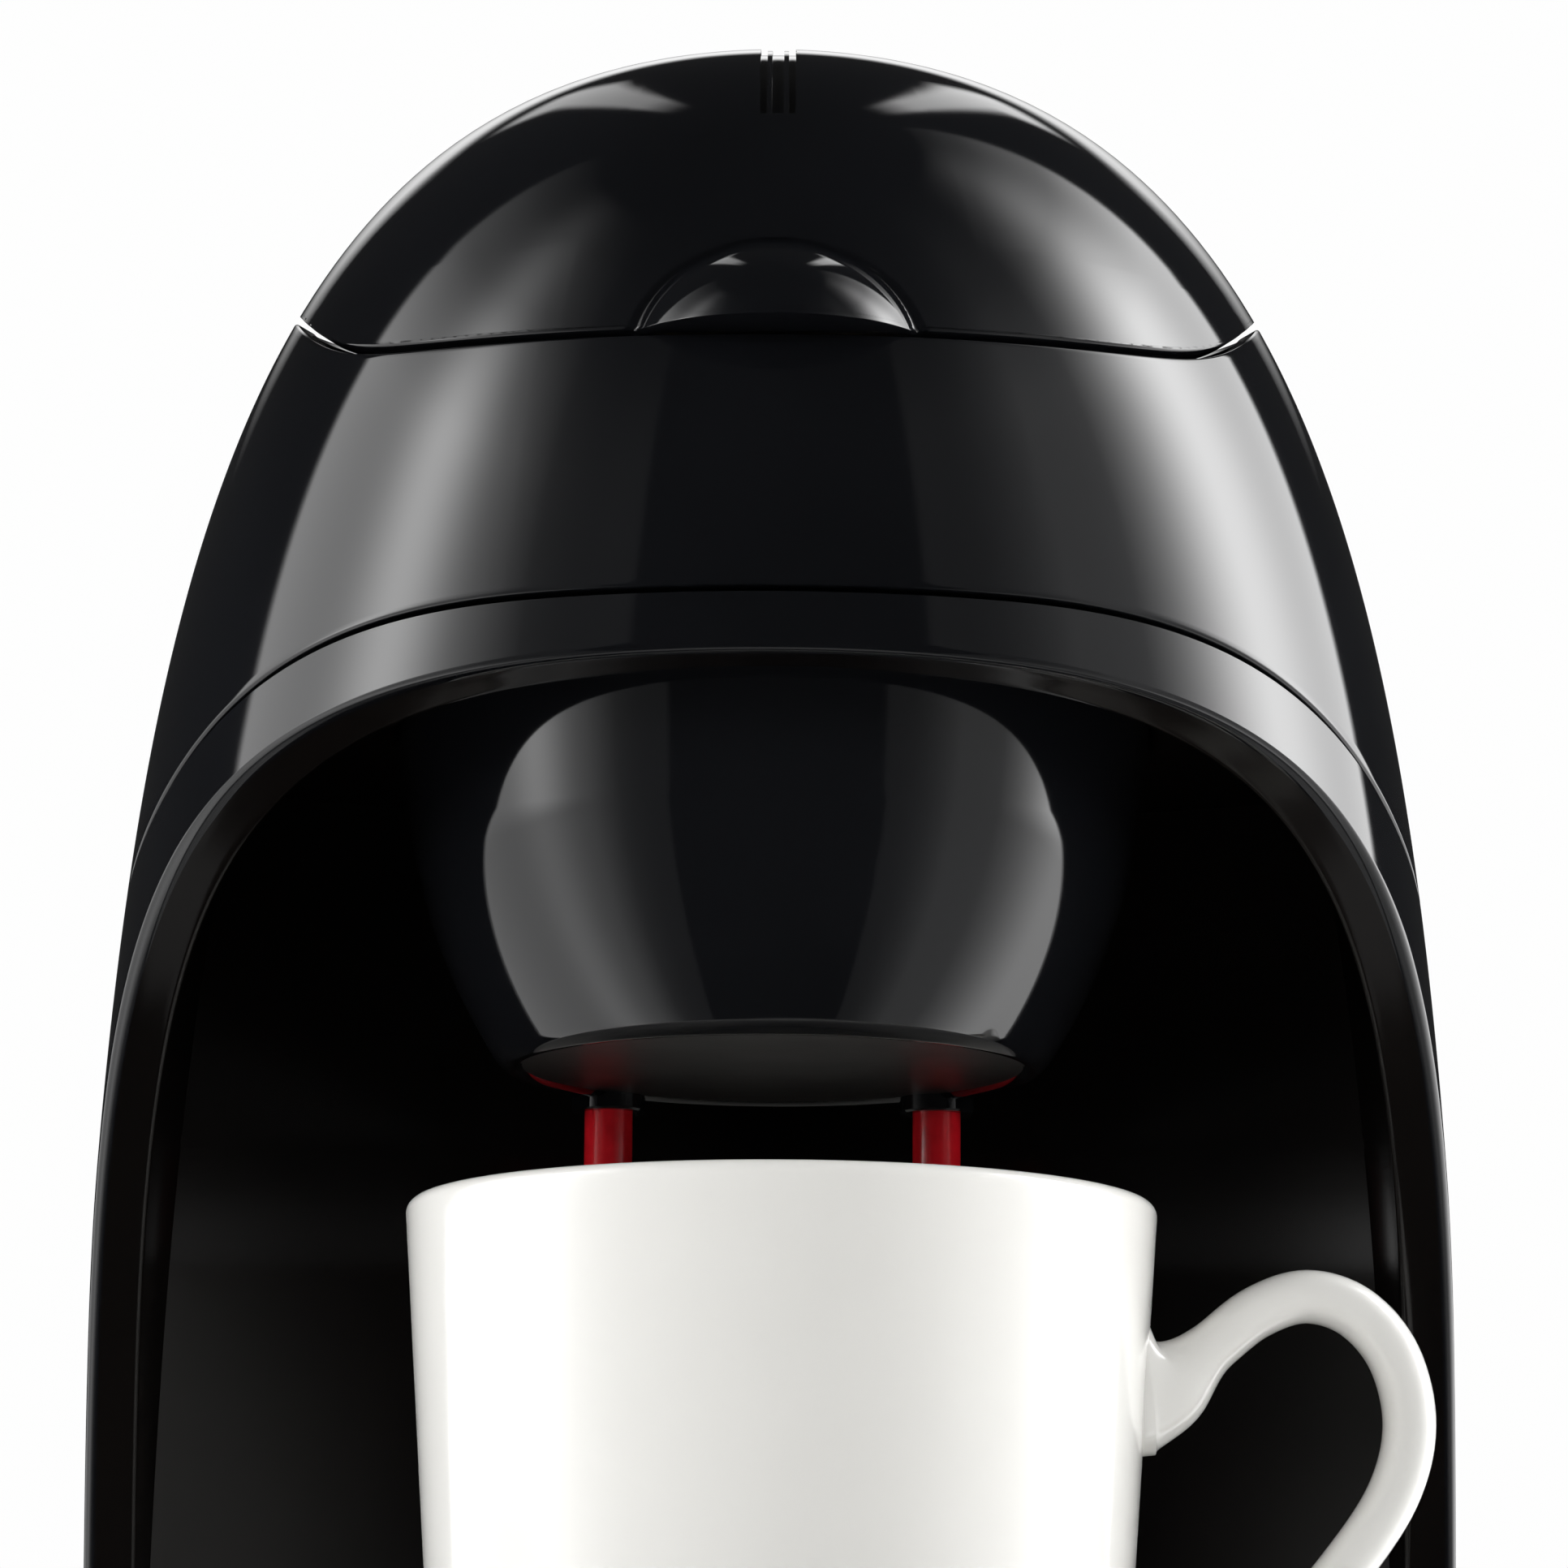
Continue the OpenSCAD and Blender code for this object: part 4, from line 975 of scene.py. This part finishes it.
def glow(azimuth, elevation):
    """Light that the studio sends from a direction, azimuth 0 at the camera."""
    start, end, peak, width, climb, bar, strip, lift = RIGHT_PANEL if azimuth > 0 else LEFT_PANEL
    az = abs(azimuth)
    low = ramp(-elevation, -6, 8)
    start = start + LOW_START * low
    end = end + LOW_END * low
    window = ramp(az, start, start + 1.5) * ramp(-az, -end - 1.5, -end) * ramp(elevation, -64, -60)
    el = elevation - lift
    fade = 1 - 0.73 * ramp(el, 42, 54) - 0.2 * ramp(el, 54, 64) - 0.07 * ramp(el, 64, 71)
    across = 0.13 + 0.45 * ramp(az, 36, 58) ** 2 + climb * (1 - 0.55 * low) * ramp(az, peak - 28, peak + 2)
    level = 0.02 + window * fade * (across + bar * (1 - 0.85 * low) * math.exp(-((az - peak) / width) ** 2))
    middle = 161.5 - 0.6 * max(elevation - 47, 0)
    crescent = ramp(az, middle - 5, middle - 3) * ramp(-az, -middle - 5, -middle - 3)
    crescent = crescent * ramp(elevation, 39, 42) * ramp(-elevation, -71, -64)
    rim = ramp(az, 152, 160) * ramp(elevation, 20, 30) * ramp(-elevation, -37, -33)
    table = ramp(-elevation, 64, 68)
    return level + strip * crescent + 1.5 * rim + 0.5 * table


def studio():
    """A dome that only reflections and shading see, with soft panels painted on it."""
    scene = bpy.context.scene
    scene.view_settings.view_transform = "Standard"
    world = bpy.data.worlds.new("world")
    world.use_nodes = True
    world.node_tree.nodes["Background"].inputs["Color"].default_value = (0.0, 0.0, 0.0, 1)
    scene.world = world
    radius = 1.6
    azimuths = np.linspace(-180, 180, 361)
    elevations = np.linspace(-88, 90, 120)
    points, values = [], []
    for e in elevations:
        for a in azimuths:
            ar, er = math.radians(a), math.radians(e)
            points.append((radius * math.sin(ar) * math.cos(er), -radius * math.cos(ar) * math.cos(er),
                           0.15 + radius * math.sin(er)))
            values.append(float(glow(a, e)))
    mesh = bpy.data.meshes.new("studio_dome")
    mesh.from_pydata(points, [], grid_faces(len(elevations), len(azimuths)).tolist())
    attribute = mesh.attributes.new("glow", "FLOAT", "POINT")
    attribute.data.foreach_set("value", values)
    m = bpy.data.materials.new("studio_dome")
    m.use_nodes = True
    tree = m.node_tree
    tree.nodes.clear()
    read = tree.nodes.new("ShaderNodeAttribute")
    read.attribute_name = "glow"
    light = tree.nodes.new("ShaderNodeEmission")
    out = tree.nodes.new("ShaderNodeOutputMaterial")
    link(tree, read.outputs["Fac"], light.inputs["Strength"])
    link(tree, light.outputs["Emission"], out.inputs["Surface"])
    mesh.materials.append(m)
    dome = bpy.data.objects.new("studio_dome", mesh)
    scene.collection.objects.link(dome)
    dome.visible_camera = False
    dome.visible_transmission = False
    dome.visible_shadow = False
    backdrop()
    floor()
    lamp("fill_left", (-0.75, -1.1, 0.5), 3.5)
    lamp("fill_right", (0.8, -1.1, 0.5), 3.7)


def backdrop():
    """White surround that only the camera sees."""
    mesh = bpy.data.meshes.new("backdrop")
    bm = bmesh.new()
    bmesh.ops.create_icosphere(bm, subdivisions=4, radius=6.0)
    bm.to_mesh(mesh)
    bm.free()
    m = bpy.data.materials.new("backdrop")
    m.use_nodes = True
    tree = m.node_tree
    tree.nodes.clear()
    light = tree.nodes.new("ShaderNodeEmission")
    light.inputs["Color"].default_value = (0.99, 0.99, 0.99, 1)
    out = tree.nodes.new("ShaderNodeOutputMaterial")
    link(tree, light.outputs["Emission"], out.inputs["Surface"])
    mesh.materials.append(m)
    dome = bpy.data.objects.new("backdrop", mesh)
    bpy.context.scene.collection.objects.link(dome)
    for flag in ("visible_diffuse", "visible_glossy", "visible_shadow", "visible_volume_scatter"):
        setattr(dome, flag, False)


FLOOR = material("floor", (0.8, 0.8, 0.79), 0.6, vary=0.02, grain=400, bump=0.02, mottle=6)


def floor():
    mesh = bpy.data.meshes.new("floor")
    bm = bmesh.new()
    bmesh.ops.create_circle(bm, cap_ends=True, segments=96, radius=0.9)
    bm.to_mesh(mesh)
    bm.free()
    mesh.materials.append(FLOOR)
    piece = bpy.data.objects.new("floor", mesh)
    bpy.context.scene.collection.objects.link(piece)
    piece.visible_glossy = False


LAMP_AIM = (0, 0, 0.08)
LAMP_SIZE = 0.5


def lamp(name, at, power):
    """Soft lamp that lights matt surfaces and stays out of reflections."""
    data = bpy.data.lights.new(name, "AREA")
    data.shape = "DISK"
    data.size = LAMP_SIZE
    data.energy = power
    piece = bpy.data.objects.new(name, data)
    bpy.context.scene.collection.objects.link(piece)
    piece.location = at
    piece.rotation_mode = "QUATERNION"
    piece.rotation_quaternion = (Vector(LAMP_AIM) - Vector(at)).to_track_quat("-Z", "Y")
    piece.visible_glossy = False
    piece.visible_camera = False


hood_piece()
lid_piece()
tower_piece()
basket_piece()
spout_pieces()
mug_piece()
dress_nodes()
studio()
